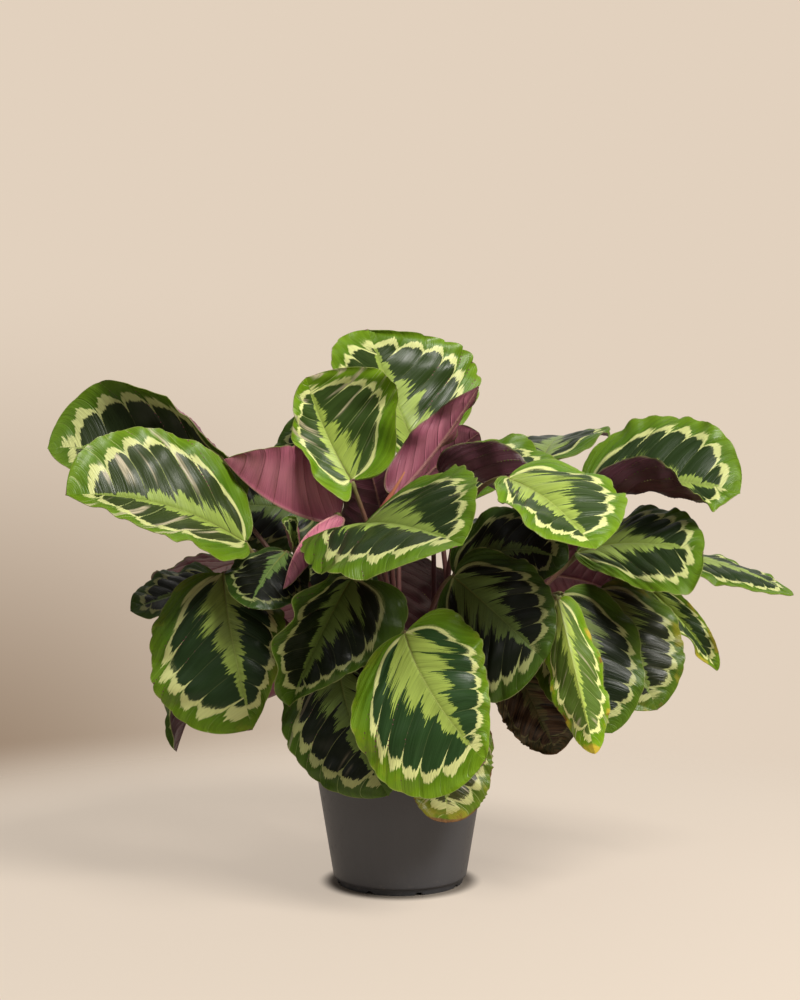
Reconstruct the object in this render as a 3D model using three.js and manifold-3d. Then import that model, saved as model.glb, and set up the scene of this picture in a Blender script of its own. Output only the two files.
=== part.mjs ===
import * as THREE from "three";
import { mergeVertices } from "three/addons/utils/BufferGeometryUtils.js";
import Module from "manifold-3d";

// Potted foliage plant: broad banded leaves on slim stalks, in a tapered nursery pot.
// Millimetres, +Z up. The pot stands on z = 0 around the Z axis and its front is -Y.

const wasm = await Module();
wasm.setup();

// ---- Driving dimensions ----

// Pot
const potHeight = 146;
const potBaseRadius = 71;
const potTopRadius = 90.5;
const rimRadius = 95;
const rimDepth = 17;
const rimStep = 1.4;
const wallThickness = 1.8;
const floorHeight = 7.5;
const floorUnderside = 5;
const footHeight = 6.5;
const footRing = [60.5, 66];
const hubRadius = 21;
const cornerHeight = 11;
const drainHoles = { count: 8, circle: 42, radius: 5 };
const footNotches = { count: 8, circle: 63.5, length: 12, width: 7, height: 2.9, turn: 17 };
const roundSides = 24;

// Soil
const soilHeight = 130;
const soilDome = 1.5;
const soilGap = 0.3;
const socketDepth = 16;
const socketGap = 0.35;

// Blades
const bladeThickness = 0.9;
const midribThickness = 1.5;
const baseThickness = 3.2;
const baseHalfWidth = 2.2;
const tipHalfWidth = 0.8;
const leafScale = 1;

// Stalks and sheaths
const stalkRadius = [3.1, 2.2];
const stalkSides = 5;
const stalkSteps = 4;
const stalkGap = 0.7;
const sheathSides = 8;
const sheathSteps = 3;
const sheathTaper = 0.6;

// ---- Shoots: where each clump of stalks stands in the soil, and its sheath ----
const shoots = {
  shoot_centre: { at: [0, 8], lean: [0, 2], radius: 11, height: 58 },
  shoot_front: { at: [4, -38], lean: [2, -8], radius: 10, height: 40 },
  shoot_left: { at: [-40, -8], lean: [-10, -4], radius: 10, height: 46 },
  shoot_right: { at: [42, -10], lean: [10, -4], radius: 10, height: 46 },
  shoot_back_left: { at: [-26, 40], lean: [-6, 9], radius: 9, height: 42 },
  shoot_back_right: { at: [28, 42], lean: [7, 9], radius: 9, height: 42 },
};

// ---- Leaves ----
// base, tip: ends of the midrib. face: the way the upper side looks. width: full width.
// bow: how far the midrib rises at a third and two thirds. sway: how far it bends sideways.
// fold, curl: degrees for the left and right half, seen from above with the tip up.
// ease: share of fold and curl left at the tip. wave, waves, phase: the waved margin.
// lobe: how far the base lobes reach back. root, taper: larger for a narrower base or tip.
// wide: each half's width against half the full one. sweep: how far a half is led toward the
// tip, as a share of the distance from the midrib. These five take one number or one for each half.
// stalk, neck: how far the stalk is led aside low down and near the blade.
// rolled: radii at base and tip of a new leaf that is still rolled into a slim cone.
const usual = {
  width: 150, bow: [15, 12], sway: 0, fold: [10, 10], curl: [-15, -15], ease: 0.7, wave: 4, waves: 3,
  phase: 0, lobe: 0.07, root: 0.5, taper: 0.6, wide: 1, sweep: 0, twist: 0, rows: 11,
  stalk: [0, 0, 0], neck: [0, 0, 0], rolled: null,
};
const leaves = [
  // Front and centre
  { name: "front_centre", shoot: "shoot_front", base: [5, -125, 271], tip: [79, -185, 158],
    face: [-0.15, -1, 0.25], width: 158, bow: [25, 12], sway: 11, fold: [5, 5], curl: [-35, -20],
    root: [0.4, 0.5], taper: [0.7, 0.48], wide: [0.82, 1.08], sweep: [-0.2, 0.22] },
  { name: "centre_front", shoot: "shoot_front", base: [-37, -60, 374], tip: [57, -205, 360],
    face: [-0.56, -0.43, 0.7], width: 165, bow: [22, 15], fold: [0, 50], curl: [-20, -50],
    lobe: [0.05, 0.16], root: [0.5, 0.6], taper: [0.8, 0.45], wide: [1.12, 1.25], sweep: [0.1, 0] },
  { name: "centre_right", shoot: "shoot_front", base: [54, -85, 324], tip: [139, -132, 246],
    face: [-0.1, -0.9, 0.4], width: 151, bow: [12, 10], fold: [30, 0], curl: [-40, -40],
    taper: [0.6, 0.5], wide: [0.76, 1.02], sweep: [0, 0.35], rows: 11 },
  { name: "left_centre", shoot: "shoot_front", base: [-49, -76, 322], tip: [-108, -116, 200],
    face: [-0.1, -0.95, 0.3], width: 140, fold: [10, 78], curl: [-20, 0], ease: 0.9, wave: 6,
    waves: 3.5, root: [0.4, 0.7], taper: [1.2, 0.6] },
  { name: "low_left_dark", shoot: "shoot_front", base: [-64, -70, 250], tip: [-12, -113, 112],
    face: [-0.2, -1, 0.15], width: 156, sway: 10, curl: [-25, -25], phase: 0.5, wide: [0.7, 0.88],
    sweep: [0, -0.1] },
  { name: "pot_right", shoot: "shoot_front", base: [44, -66, 212], tip: [45, -116, 86],
    face: [0.15, -1, 0.1], width: 112, taper: 0.42, wide: [0.82, 0.72] },
  { name: "mid_right_dark", shoot: "shoot_front", base: [56, -58, 326], tip: [167, -88, 340],
    face: [-0.1, -0.85, 0.5], width: 96, bow: [20, 20], sway: -16, root: 0.65 },
  // Left side
  { name: "left_big", shoot: "shoot_left", base: [-182, -40, 325], tip: [-147, -95, 174],
    face: [-0.1, -1, 0.2], width: 152, bow: [30, 15], fold: [5, 5], curl: [-60, -20], lobe: [0.05, 0.1],
    root: [0.5, 0.48], taper: [0.9, 0.45], wide: [0.75, 1.15], sweep: [-0.15, 0.06] },
  { name: "left_front", shoot: "shoot_left", base: [-160, -36, 357], tip: [-328, -108, 406],
    face: [0, -0.9, 0.45], width: 145, bow: [20, 20], sway: 14, fold: [45, 8], curl: [-10, -15],
    ease: 1.1, wave: 2.5, lobe: [0, 0.07], root: [0.5, 0.62], taper: [0.8, 0.5], wide: [1.15, 1.12] },
  { name: "left_rear", shoot: "shoot_left", base: [-173, 12, 392], tip: [-366, -20, 455],
    face: [0.05, -0.85, 0.5], width: 168, sway: 24, fold: [0, 5], curl: [-10, 225], ease: 0.05, wave: 3,
    root: 0.75, wide: [0.5, 1.02] },
  { name: "left_small", shoot: "shoot_left", base: [-116, -60, 348], tip: [-148, -117, 296],
    face: [-0.3, -0.75, 0.6], width: 85, bow: [8, 6], fold: [-30, 10], waves: 3, rows: 10 },
  { name: "left_back", shoot: "shoot_left", base: [-176, 25, 302], tip: [-282, -10, 285],
    face: [-0.2, -0.5, 0.8], width: 100, rows: 10 },
  { name: "left_low_tip", shoot: "shoot_left", base: [-170, 20, 251], tip: [-236, 1, 136],
    face: [-0.8, -0.3, 0.2], width: 77, fold: [60, 60], rows: 10 },
  { name: "left_pink", shoot: "shoot_left", base: [-68, 1, 376], tip: [-181, -34, 442],
    face: [0, 0.1, 1], width: 138, bow: [-18, -18], fold: [75, 62], curl: [10, 10], wave: 2 },
  { name: "left_pink_low", shoot: "shoot_left", base: [-66, -34, 384], tip: [-114, -112, 314],
    face: [0.6, 0.2, -0.7], width: 42, bow: [-20, -16], fold: [30, 30], curl: [70, 70], wave: 1 },
  { name: "left_new", shoot: "shoot_left", base: [-108, -48, 352], tip: [-115, -50, 384],
    face: [0.2, -1, 0], width: 36, bow: [3, 3], fold: [30, 30], curl: [110, 110], wave: 0, rows: 8 },
  // Top
  { name: "top_back", shoot: "shoot_back_right", base: [27, 86, 440], tip: [-36, 106, 592],
    face: [0.15, -0.95, 0.3], width: 182, bow: [-10, -10], fold: [40, 0], curl: [20, -15],
    root: [0.5, 1.15], taper: [0.6, 1.05], wide: [1, 1.2], sweep: [0.35, 0.05], stalk: [0, 55, 30],
    neck: [0, 30, 0] },
  { name: "top_front", shoot: "shoot_centre", base: [-50, -30, 421], tip: [-97, -30, 527],
    face: [0.3, -0.95, 0.1], width: 128, bow: [-20, -20], fold: [10, 20], curl: [20, 35],
    lobe: [0.26, 0.26], root: [0.5, 0.55], taper: [0.6, 0.45], wide: [0.58, 1.36], sweep: [0, 0.15] },
  { name: "top_pink", shoot: "shoot_centre", base: [-3, -12, 405], tip: [81, -35, 518],
    face: [0.3, 0.9, -0.2], width: 62, fold: [100, 0], curl: [20, -10], wave: 5, root: 0.6, taper: 1,
    wide: [0.45, 1.02] },
  { name: "mid_purple", shoot: "shoot_centre", base: [2, 50, 396], tip: [86, 56, 474],
    face: [-0.3, 0.85, 0.45], width: 84 },
  { name: "centre_cup", shoot: "shoot_centre", base: [-10, 24, 346], tip: [-34, 30, 442],
    face: [0.3, 0.9, -0.3], width: 100, bow: [4, 4], fold: [10, 10], curl: [25, 25], wave: 3,
    wide: [1, 0.75] },
  { name: "new_spear", shoot: "shoot_centre", base: [-18, -38, 392], tip: [5, -40, 430],
    face: [0.3, -1, 0], bow: [1, 1], rolled: [3.4, 0.7] },
  { name: "back_dark_centre", shoot: "shoot_back_left", base: [-50, 120, 412], tip: [-120, 165, 500],
    face: [-0.1, -0.9, 0.4], width: 120 },
  { name: "centre_dark", shoot: "shoot_centre", base: [-40, 72, 374], tip: [-83, 66, 256],
    face: [-0.2, -0.9, 0.4], width: 90, bow: [15, 9] },
  { name: "back_dark_left", shoot: "shoot_back_left", base: [-93, 88, 386], tip: [-205, 75, 394],
    face: [0, -0.9, 0.45], width: 110 },
  // Right side
  { name: "right_arch", shoot: "shoot_right", base: [44, 10, 430], tip: [150, -26, 374],
    face: [0.3, -0.75, 0.6], width: 145, bow: [26, 16], fold: [15, 60], curl: [-20, 120], root: 0.75,
    wide: [1.15, 0.8] },
  { name: "right_front", shoot: "shoot_right", base: [107, -100, 422], tip: [180, -200, 356],
    face: [0.25, -0.6, 0.8], width: 148, fold: [26, 15], curl: [-45, -5], lobe: [0.08, 0.02],
    root: [0.5, 0.8], wide: [1.1, 0.85], sweep: [-0.1, 0.05], stalk: [-40, 19, 38],
    neck: [-22, 25, 20] },
  { name: "back_right", shoot: "shoot_back_right", base: [158, 90, 444], tip: [205, 225, 478],
    face: [-0.25, -0.4, 0.9], width: 128 },
  { name: "right_top", shoot: "shoot_right", base: [200, -5, 401], tip: [343, -65, 408],
    face: [-0.1, -0.85, 0.55], width: 165, sway: -16, fold: [5, 0], curl: [-20, 230], ease: 0.1,
    wave: 2.5, root: [0.5, 0.45], taper: [0.6, 1], wide: [1.07, 0.85], sweep: [0, 0.5],
    stalk: [30, 45, -20] },
  { name: "right_mid", shoot: "shoot_right", base: [186, -10, 345], tip: [300, -95, 349],
    face: [0.15, -0.75, 0.65], width: 140, bow: [20, 15], curl: [-20, -20], root: [0.6, 0.8],
    wide: [0.8, 1], sweep: [0.1, 0.6] },
  { name: "far_right", shoot: "shoot_back_right", base: [285, 35, 340], tip: [415, 0, 301],
    face: [0, -0.1, 1], width: 90, fold: [6, -12], wave: 2, stalk: [0, 60, 0], rows: 12 },
  { name: "right_low_narrow", shoot: "shoot_right", base: [258, 10, 312], tip: [334, -5, 222],
    face: [0.3, -0.9, 0.3], width: 36, fold: [55, 45] },
  { name: "right_low_outer", shoot: "shoot_right", base: [208, -15, 307], tip: [259, -70, 190],
    face: [0.1, -1, 0.2], width: 130, fold: [10, 5], curl: [-30, -20], wide: [0.88, 1] },
  { name: "right_low_inner", shoot: "shoot_right", base: [165, -58, 305], tip: [209, -105, 172],
    face: [0.2, -1, 0.15], width: 110, fold: [10, -15], stalk: [0, 0, 0] },
  { name: "low_right_narrow", shoot: "shoot_right", base: [156, -100, 303], tip: [187, -145, 158],
    face: [-0.1, -1, 0.1], width: 64, fold: [-35, -35], wave: 3, stalk: [-10, -30, 40] },
  { name: "under_right", shoot: "shoot_right", base: [117, -30, 234], tip: [160, -50, 142],
    face: [0, -1, 0.1], width: 100, bow: [8, 6], wide: [1, 0.7], stalk: [0, 0, 0], rows: 12 },
  { name: "right_under", shoot: "shoot_right", base: [154, 40, 320], tip: [226, 20, 304],
    face: [0, 0.9, 0.4], width: 96, fold: [10, 0] },
  // Back
  { name: "back_top", shoot: "shoot_back_right", base: [62, 112, 395], tip: [98, 218, 452],
    face: [-0.1, 0.3, 0.9], width: 140 },
  { name: "back_high_left", shoot: "shoot_back_left", base: [-75, 138, 365], tip: [-150, 250, 375],
    face: [-0.2, 0.5, 0.8], width: 140 },
  { name: "back_left_side", shoot: "shoot_back_left", base: [-150, 105, 335], tip: [-281, 155, 286],
    face: [-0.4, 0.3, 0.85], width: 140 },
  { name: "back_left_low", shoot: "shoot_back_left", base: [-105, 115, 285], tip: [-165, 185, 165],
    face: [-0.5, 0.85, 0.2], width: 140 },
  { name: "back_middle", shoot: "shoot_back_left", base: [-15, 140, 335], tip: [-25, 225, 225],
    face: [0, 0.9, 0.5], width: 150 },
  { name: "back_low", shoot: "shoot_back_right", base: [20, 110, 250], tip: [30, 165, 120],
    face: [0, 1, 0.2], width: 145 },
  { name: "back_right_low", shoot: "shoot_back_right", base: [120, 115, 285], tip: [180, 185, 175],
    face: [0.5, 0.85, 0.2], width: 140 },
  { name: "back_right_side", shoot: "shoot_back_right", base: [160, 75, 335], tip: [285, 130, 300],
    face: [0.4, 0.3, 0.85], width: 140 },
  { name: "back_crown", shoot: "shoot_back_left", base: [-40, 160, 415], tip: [-70, 252, 402],
    face: [-0.2, 0.5, 0.85], width: 130 },
  { name: "back_right_high", shoot: "shoot_back_right", base: [112, 128, 372], tip: [190, 232, 355],
    face: [0.3, 0.5, 0.8], width: 130 },
  { name: "side_right", shoot: "shoot_back_right", base: [215, 70, 292], tip: [300, 100, 205],
    face: [0.7, 0.3, 0.5], width: 110 },
  { name: "side_left", shoot: "shoot_back_left", base: [-190, 85, 262], tip: [-245, 125, 190],
    face: [-0.7, 0.2, 0.5], width: 110 },
];

// ---- Vector helpers ----
const add = (a, b, s = 1) => [a[0] + b[0] * s, a[1] + b[1] * s, a[2] + b[2] * s];
const sub = (a, b) => add(a, b, -1);
const dot = (a, b) => a[0] * b[0] + a[1] * b[1] + a[2] * b[2];
const scale = (a, s) => [a[0] * s, a[1] * s, a[2] * s];
const cross = (a, b) => [
  a[1] * b[2] - a[2] * b[1],
  a[2] * b[0] - a[0] * b[2],
  a[0] * b[1] - a[1] * b[0],
];
const unit = (a) => scale(a, 1 / Math.hypot(...a));
const radians = (degrees) => (degrees * Math.PI) / 180;

// ---- Blade form ----

// Outline of half a blade: 0 at both ends, 1 where it is widest.
function outline(u, p, q) {
  const m = p / (p + q);
  return (Math.max(u, 0) ** p * Math.max(1 - u, 0) ** q) / (m ** p * (1 - m) ** q);
}

// A value that a leaf gives once, or once for each half.
const ofHalf = (value, right) => (Array.isArray(value) ? value[right] : value);

function bezier(c, u) {
  const w = 1 - u;
  const point = [0, 1, 2].map((i) =>
    c[0][i] * w ** 3 + 3 * c[1][i] * u * w * w + 3 * c[2][i] * u * u * w + c[3][i] * u ** 3);
  const way = [0, 1, 2].map((i) =>
    (c[1][i] - c[0][i]) * w * w + 2 * (c[2][i] - c[1][i]) * u * w + (c[3][i] - c[2][i]) * u * u);
  return { point, way: unit(way) };
}

function midribCurve(leaf) {
  const chord = sub(leaf.tip, leaf.base);
  const t = unit(chord);
  const n = unit(sub(leaf.face, scale(t, dot(leaf.face, t))));
  const b = cross(t, n);
  const lift = (rise) => add(scale(n, rise), b, leaf.sway);
  const curve = [
    leaf.base,
    add(add(leaf.base, chord, 1 / 3), lift(leaf.bow[0])),
    add(add(leaf.base, chord, 2 / 3), lift(leaf.bow[1])),
    leaf.tip,
  ];
  return { curve, n, b, length: Math.hypot(...chord) };
}

// A point of the blade's middle surface. u runs from base to tip, v from the left margin (-1)
// to the right margin (1).
function bladePoint(leaf, u, v) {
  const { curve, n, b, length } = midribCurve(leaf);
  const { point, way } = bezier(curve, u);
  const turn = radians(leaf.twist) * u;
  const side = add(scale(b, Math.cos(turn)), n, Math.sin(turn));
  const across = unit(sub(side, scale(way, dot(side, way))));
  const up = cross(across, way);
  const right = v > 0 ? 1 : 0;
  const a = Math.abs(v);
  const blunt = baseHalfWidth * (1 - u) + tipHalfWidth * u;
  const shape = outline(u, ofHalf(leaf.root, right), ofHalf(leaf.taper, right));
  const full = (leaf.width / 2) * ofHalf(leaf.wide, right);
  const half = full * shape + blunt;
  const ease = 1 + (leaf.ease - 1) * u;
  const fold = radians(leaf.fold[right]) * ease;
  const curl = (radians(leaf.curl[right]) * ease) / full || 1e-6;
  const end = fold + curl * a * half;
  const out = (Math.sin(end) - Math.sin(fold)) / curl;
  const rise = (Math.cos(fold) - Math.cos(end)) / curl;
  const cycle = Math.sin(2 * Math.PI * (leaf.waves * u + leaf.phase + 0.35 * right));
  const ripple = leaf.wave * a * a * cycle * Math.sqrt(Math.sin(Math.PI * u));
  const back = 2.7 * ofHalf(leaf.lobe, right) * length * a ** 1.6 * (1 - u) ** 5 * shape;
  const lead = ofHalf(leaf.sweep, right) * a * full * shape;
  const sign = right ? 1 : -1;
  let place = add(point, across, sign * (out - Math.sin(end) * ripple));
  place = add(place, up, rise + Math.cos(end) * ripple);
  return add(place, way, lead - back);
}

// ---- Solids ----

function geometryOf(positions, triangles) {
  const geometry = new THREE.BufferGeometry();
  geometry.setAttribute("position", new THREE.Float32BufferAttribute(positions.flat(), 3));
  geometry.setIndex(triangles.flat());
  return geometry;
}

// A closed geometry as a solid that can be joined and cut.
function solidOf(geometry) {
  geometry.deleteAttribute("normal");
  geometry.deleteAttribute("uv");
  const merged = mergeVertices(geometry, 0.001);
  const corners = Array.from(merged.index.array);
  const triVerts = [];
  for (let i = 0; i < corners.length; i += 3) {
    const [a, b, c] = corners.slice(i, i + 3);
    if (a !== b && b !== c && c !== a) triVerts.push(a, b, c);
  }
  const mesh = new wasm.Mesh({
    numProp: 3,
    vertProperties: new Float32Array(merged.attributes.position.array),
    triVerts: new Uint32Array(triVerts),
  });
  return new wasm.Manifold(mesh);
}

function meshOf(name, geometry, material) {
  geometry.computeVertexNormals();
  const mesh = new THREE.Mesh(geometry, material);
  mesh.name = name;
  return mesh;
}

function meshOfSolid(name, solid, material) {
  const data = solid.getMesh();
  const geometry = new THREE.BufferGeometry();
  geometry.setAttribute("position", new THREE.Float32BufferAttribute(data.vertProperties, data.numProp));
  geometry.setIndex(Array.from(data.triVerts));
  return meshOf(name, geometry, material);
}

// A blade: the same grid above and below, joined round its edge. A rolled one is a plain cone.
function bladeGeometry(leaf) {
  if (leaf.rolled) return tubeGeometry(midribCurve(leaf).curve, leaf.rolled, stalkSides + 1, stalkSteps);
  const columns = Math.max(...leaf.curl.map(Math.abs)) > 50 ? 6 : 4;
  const rows = leaf.rows;
  const above = [];
  const below = [];
  for (let i = 0; i <= rows; i += 1) {
    const u = (1 - Math.cos((Math.PI * i) / rows)) / 2;
    for (let j = 0; j <= columns; j += 1) {
      const v = (2 * j) / columns - 1;
      const step = 0.002;
      const here = bladePoint(leaf, u, v);
      const onU = sub(bladePoint(leaf, Math.min(u + step, 1), v), bladePoint(leaf, Math.max(u - step, 0), v));
      const vLow = v > 0 ? Math.max(v - step, 0.001) : Math.max(v - step, -1);
      const vHigh = v >= 0 ? Math.min(v + step, 1) : Math.min(v + step, -0.001);
      const onV = sub(bladePoint(leaf, u, vHigh), bladePoint(leaf, u, vLow));
      const normal = unit(cross(onV, onU));
      const rib = Math.abs(v) < 1e-6 ? midribThickness * (1 - u) : 0;
      const thick = bladeThickness + (baseThickness - bladeThickness) * (1 - u) ** 12;
      above.push(add(here, normal, thick / 2));
      below.push(add(here, normal, -thick / 2 - rib));
    }
  }
  const count = above.length;
  const at = (i, j) => i * (columns + 1) + j;
  const triangles = [];
  for (let i = 0; i < rows; i += 1) {
    for (let j = 0; j < columns; j += 1) {
      const [p, q, r, s] = [at(i, j), at(i, j + 1), at(i + 1, j + 1), at(i + 1, j)];
      const left = j < columns / 2;
      const split = left ? [[p, q, r], [p, r, s]] : [[p, q, s], [q, r, s]];
      for (const [a, b, c] of split) {
        triangles.push([a, b, c], [count + a, count + c, count + b]);
      }
    }
  }
  const ring = [];
  for (let j = 0; j < columns; j += 1) ring.push(at(0, j));
  for (let i = 0; i < rows; i += 1) ring.push(at(i, columns));
  for (let j = columns; j > 0; j -= 1) ring.push(at(rows, j));
  for (let i = rows; i > 0; i -= 1) ring.push(at(i, 0));
  ring.forEach((a, k) => {
    const b = ring[(k + 1) % ring.length];
    triangles.push([a, count + a, b], [b, count + a, count + b]);
  });
  return geometryOf(above.concat(below), triangles);
}

// A tapered tube along a curve, closed at both ends.
function tubeGeometry(curve, radii, sides, steps) {
  const positions = [];
  const triangles = [];
  let side = null;
  for (let i = 0; i <= steps; i += 1) {
    const u = i / steps;
    const { point, way } = bezier(curve, u);
    const guess = side || (Math.abs(way[0]) < 0.8 ? [1, 0, 0] : [0, 1, 0]);
    side = unit(sub(guess, scale(way, dot(guess, way))));
    const other = cross(way, side);
    const r = radii[0] + (radii[1] - radii[0]) * u;
    for (let k = 0; k < sides; k += 1) {
      const angle = (2 * Math.PI * k) / sides;
      positions.push(add(add(point, side, r * Math.cos(angle)), other, r * Math.sin(angle)));
    }
  }
  for (let i = 0; i < steps; i += 1) {
    for (let k = 0; k < sides; k += 1) {
      const a = i * sides + k;
      const b = i * sides + ((k + 1) % sides);
      triangles.push([a, b, a + sides], [b, b + sides, a + sides]);
    }
  }
  for (let k = 1; k < sides - 1; k += 1) {
    triangles.push([0, k + 1, k]);
    const last = steps * sides;
    triangles.push([last, last + k, last + k + 1]);
  }
  return geometryOf(positions, triangles);
}

// A leaf's stalk: it starts inside its shoot's sheath, climbs in a slight arch away from the
// shoot, and ends just short of the blade's base, where it arrives from below and behind.
function stalkCurve(leaf) {
  const rootedAt = 0.45;
  const leanOn = 2;
  const spreadLow = 0.12;
  const climbLow = 0.62;
  const longestHandle = 30;
  const arriveLength = 25;

  const shoot = shoots[leaf.shoot];
  const foot = [
    shoot.at[0] + shoot.lean[0] * rootedAt,
    shoot.at[1] + shoot.lean[1] * rootedAt,
    soilHeight + shoot.height * rootedAt,
  ];
  const { curve, n } = midribCurve(leaf);
  const along = bezier(curve, 0).way;
  const outward = unit([leaf.base[0] - foot[0], leaf.base[1] - foot[1], 0.001]);
  const reach = unit(add(add(scale(along, 0.75), n, 0.45), [0, 0, 1], 0.15));
  const arrive = unit(sub(scale(reach, arriveLength), leaf.neck));
  const slant = Math.hypot(...cross(along, arrive));
  const end = add(leaf.base, along, -stalkGap - stalkRadius[1] * slant);
  const span = Math.hypot(end[0] - foot[0], end[1] - foot[1]);
  const rise = end[2] - foot[2];
  const handle = Math.min(longestHandle, 0.3 * Math.hypot(span, rise));
  const low = [
    foot[0] + shoot.lean[0] * leanOn + outward[0] * span * spreadLow,
    foot[1] + shoot.lean[1] * leanOn + outward[1] * span * spreadLow,
    foot[2] + rise * climbLow,
  ];
  return [foot, add(low, leaf.stalk), add(add(end, reach, -handle), leaf.neck), end];
}

// A shoot: a foot that stands in the soil's hole, a leaning sheath, and its leaves' stalks.
function shootSolid(name) {
  const shoot = shoots[name];
  const [x, y] = shoot.at;
  const [dx, dy] = shoot.lean;
  const sheathCurve = [
    [x, y, soilHeight - 1],
    [x, y, soilHeight + 8],
    [x + dx * 0.2, y + dy * 0.2, soilHeight + shoot.height * 0.5],
    [x + dx, y + dy, soilHeight + shoot.height],
  ];
  const sheathRadii = [shoot.radius, shoot.radius * sheathTaper];
  let solid = solidOf(tubeGeometry(sheathCurve, sheathRadii, sheathSides, sheathSteps));
  const footBottom = soilHeight - socketDepth + socketGap;
  solid = solid.add(post(x, y, footBottom, shoot.radius, socketDepth + 1, sheathSides));
  for (const leaf of leaves.filter((item) => item.shoot === name)) {
    solid = solid.add(solidOf(tubeGeometry(stalkCurve(leaf), stalkRadius, stalkSides, stalkSteps)));
  }
  return solid;
}

// ---- Pot and soil ----

// A solid turned round the Z axis from a profile of [radius, height] points.
function turned(profile) {
  const points = profile.map(([radius, height]) => new THREE.Vector2(radius, height));
  return solidOf(new THREE.LatheGeometry(points, roundSides).rotateX(Math.PI / 2));
}

// An upright round post that stands on height z.
function post(x, y, z, radius, height, sides) {
  const geometry = new THREE.CylinderGeometry(radius, radius, height, sides);
  return solidOf(geometry.rotateX(Math.PI / 2).translate(x, y, z + height / 2));
}

// Tapered wall with a stepped rim, a foot ring with notches, and a floor with drain holes
// that is raised round a flat hub.
function potSolid() {
  const rimZ = potHeight - rimDepth;
  const t = wallThickness;
  const profile = [
    [0, 0], [hubRadius, 0], [hubRadius + 3.5, floorUnderside], [footRing[0] - 2.5, floorUnderside],
    [footRing[0], 0], [footRing[1], 0], [potBaseRadius - 3.8, footHeight],
    [potBaseRadius - 1.4, footHeight + 1], [potBaseRadius, cornerHeight],
    [potTopRadius, rimZ], [rimRadius - rimStep, rimZ + 0.6], [rimRadius, potHeight - 1.2],
    [rimRadius - 0.6, potHeight], [rimRadius - t, potHeight],
    [rimRadius - rimStep - t, rimZ + t + 1], [potTopRadius - t - 0.2, rimZ - 0.5],
    [potBaseRadius - t, cornerHeight + 1], [potBaseRadius - t - 3.5, floorHeight],
    [hubRadius + 6, floorHeight], [hubRadius + 1, t + 0.4], [0, t + 0.4],
  ];
  let pot = turned(profile);
  for (let k = 0; k < drainHoles.count; k += 1) {
    const angle = (2 * Math.PI * (k + 0.5)) / drainHoles.count;
    const x = drainHoles.circle * Math.cos(angle);
    const y = drainHoles.circle * Math.sin(angle);
    pot = pot.subtract(post(x, y, 1, drainHoles.radius, floorHeight + 4, 8));
  }
  for (let k = 0; k < footNotches.count; k += 1) {
    const angle = (2 * Math.PI * k) / footNotches.count + radians(footNotches.turn);
    const notch = new THREE.BoxGeometry(footNotches.length, footNotches.width, 2 * footNotches.height)
      .translate(footNotches.circle, 0, 0)
      .rotateZ(angle);
    pot = pot.subtract(solidOf(notch));
  }
  return pot;
}

// Fills the pot with a slightly domed top and one plain hole for each shoot.
function soilSolid() {
  const g = soilGap;
  const t = wallThickness;
  const rimZ = potHeight - rimDepth;
  const inner = (z) => {
    const share = (z - cornerHeight - 1) / (rimZ - cornerHeight - 1.5);
    return potBaseRadius - t + (potTopRadius - 0.2 - potBaseRadius) * share - g - 0.4;
  };
  const profile = [
    [0, t + 0.4 + g], [hubRadius + 0.4, t + 0.4 + g], [hubRadius + 5.6, floorHeight + g],
    [potBaseRadius - t - 4.2, floorHeight + g], [inner(cornerHeight + 2), cornerHeight + 2],
    [inner(soilHeight - 4), soilHeight - 4], [70, soilHeight - 1.5], [45, soilHeight],
    [0, soilHeight + soilDome],
  ];
  let soil = turned(profile);
  for (const shoot of Object.values(shoots)) {
    const [x, y] = shoot.at;
    const bottom = soilHeight - socketDepth;
    const hole = post(x, y, bottom, shoot.radius + socketGap, socketDepth + 6, sheathSides);
    soil = soil.subtract(hole);
  }
  return soil;
}

// ---- Assembly ----
const material = (color, roughness) => new THREE.MeshStandardMaterial({ color, roughness, metalness: 0 });
const potMaterial = material(0x3c3a3c, 0.55);
const soilMaterial = material(0x33241a, 0.95);
const stalkMaterial = material(0x6d4547, 0.5);
const leafMaterial = material(0x4d7a35, 0.4);

for (const leaf of leaves) {
  for (const [key, value] of Object.entries(usual)) {
    if (leaf[key] === undefined) leaf[key] = value;
  }
  leaf.width *= leafScale;
}

const plant = new THREE.Group();
plant.name = "potted_plant";
plant.add(meshOfSolid("pot", potSolid(), potMaterial));
plant.add(meshOfSolid("soil", soilSolid(), soilMaterial));
for (const name of Object.keys(shoots)) {
  plant.add(meshOfSolid(name, shootSolid(name), stalkMaterial));
}
for (const leaf of leaves) {
  plant.add(meshOf(`leaf_${leaf.name}`, bladeGeometry(leaf), leafMaterial));
}

export default plant;
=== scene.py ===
import bpy
import numpy as np
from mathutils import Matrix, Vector
from types import SimpleNamespace


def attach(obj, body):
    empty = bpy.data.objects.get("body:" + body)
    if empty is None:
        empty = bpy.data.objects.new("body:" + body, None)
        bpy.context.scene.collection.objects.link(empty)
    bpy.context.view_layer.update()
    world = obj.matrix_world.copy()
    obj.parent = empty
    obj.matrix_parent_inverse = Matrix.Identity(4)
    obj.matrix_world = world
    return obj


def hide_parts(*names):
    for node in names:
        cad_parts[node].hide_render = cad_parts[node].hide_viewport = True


# Potted foliage plant: broad banded leaves on slim stalks in a tapered nursery pot.
# Sizes are in millimetres until putMesh makes them metres. +Z is up, the front is -Y.

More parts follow.
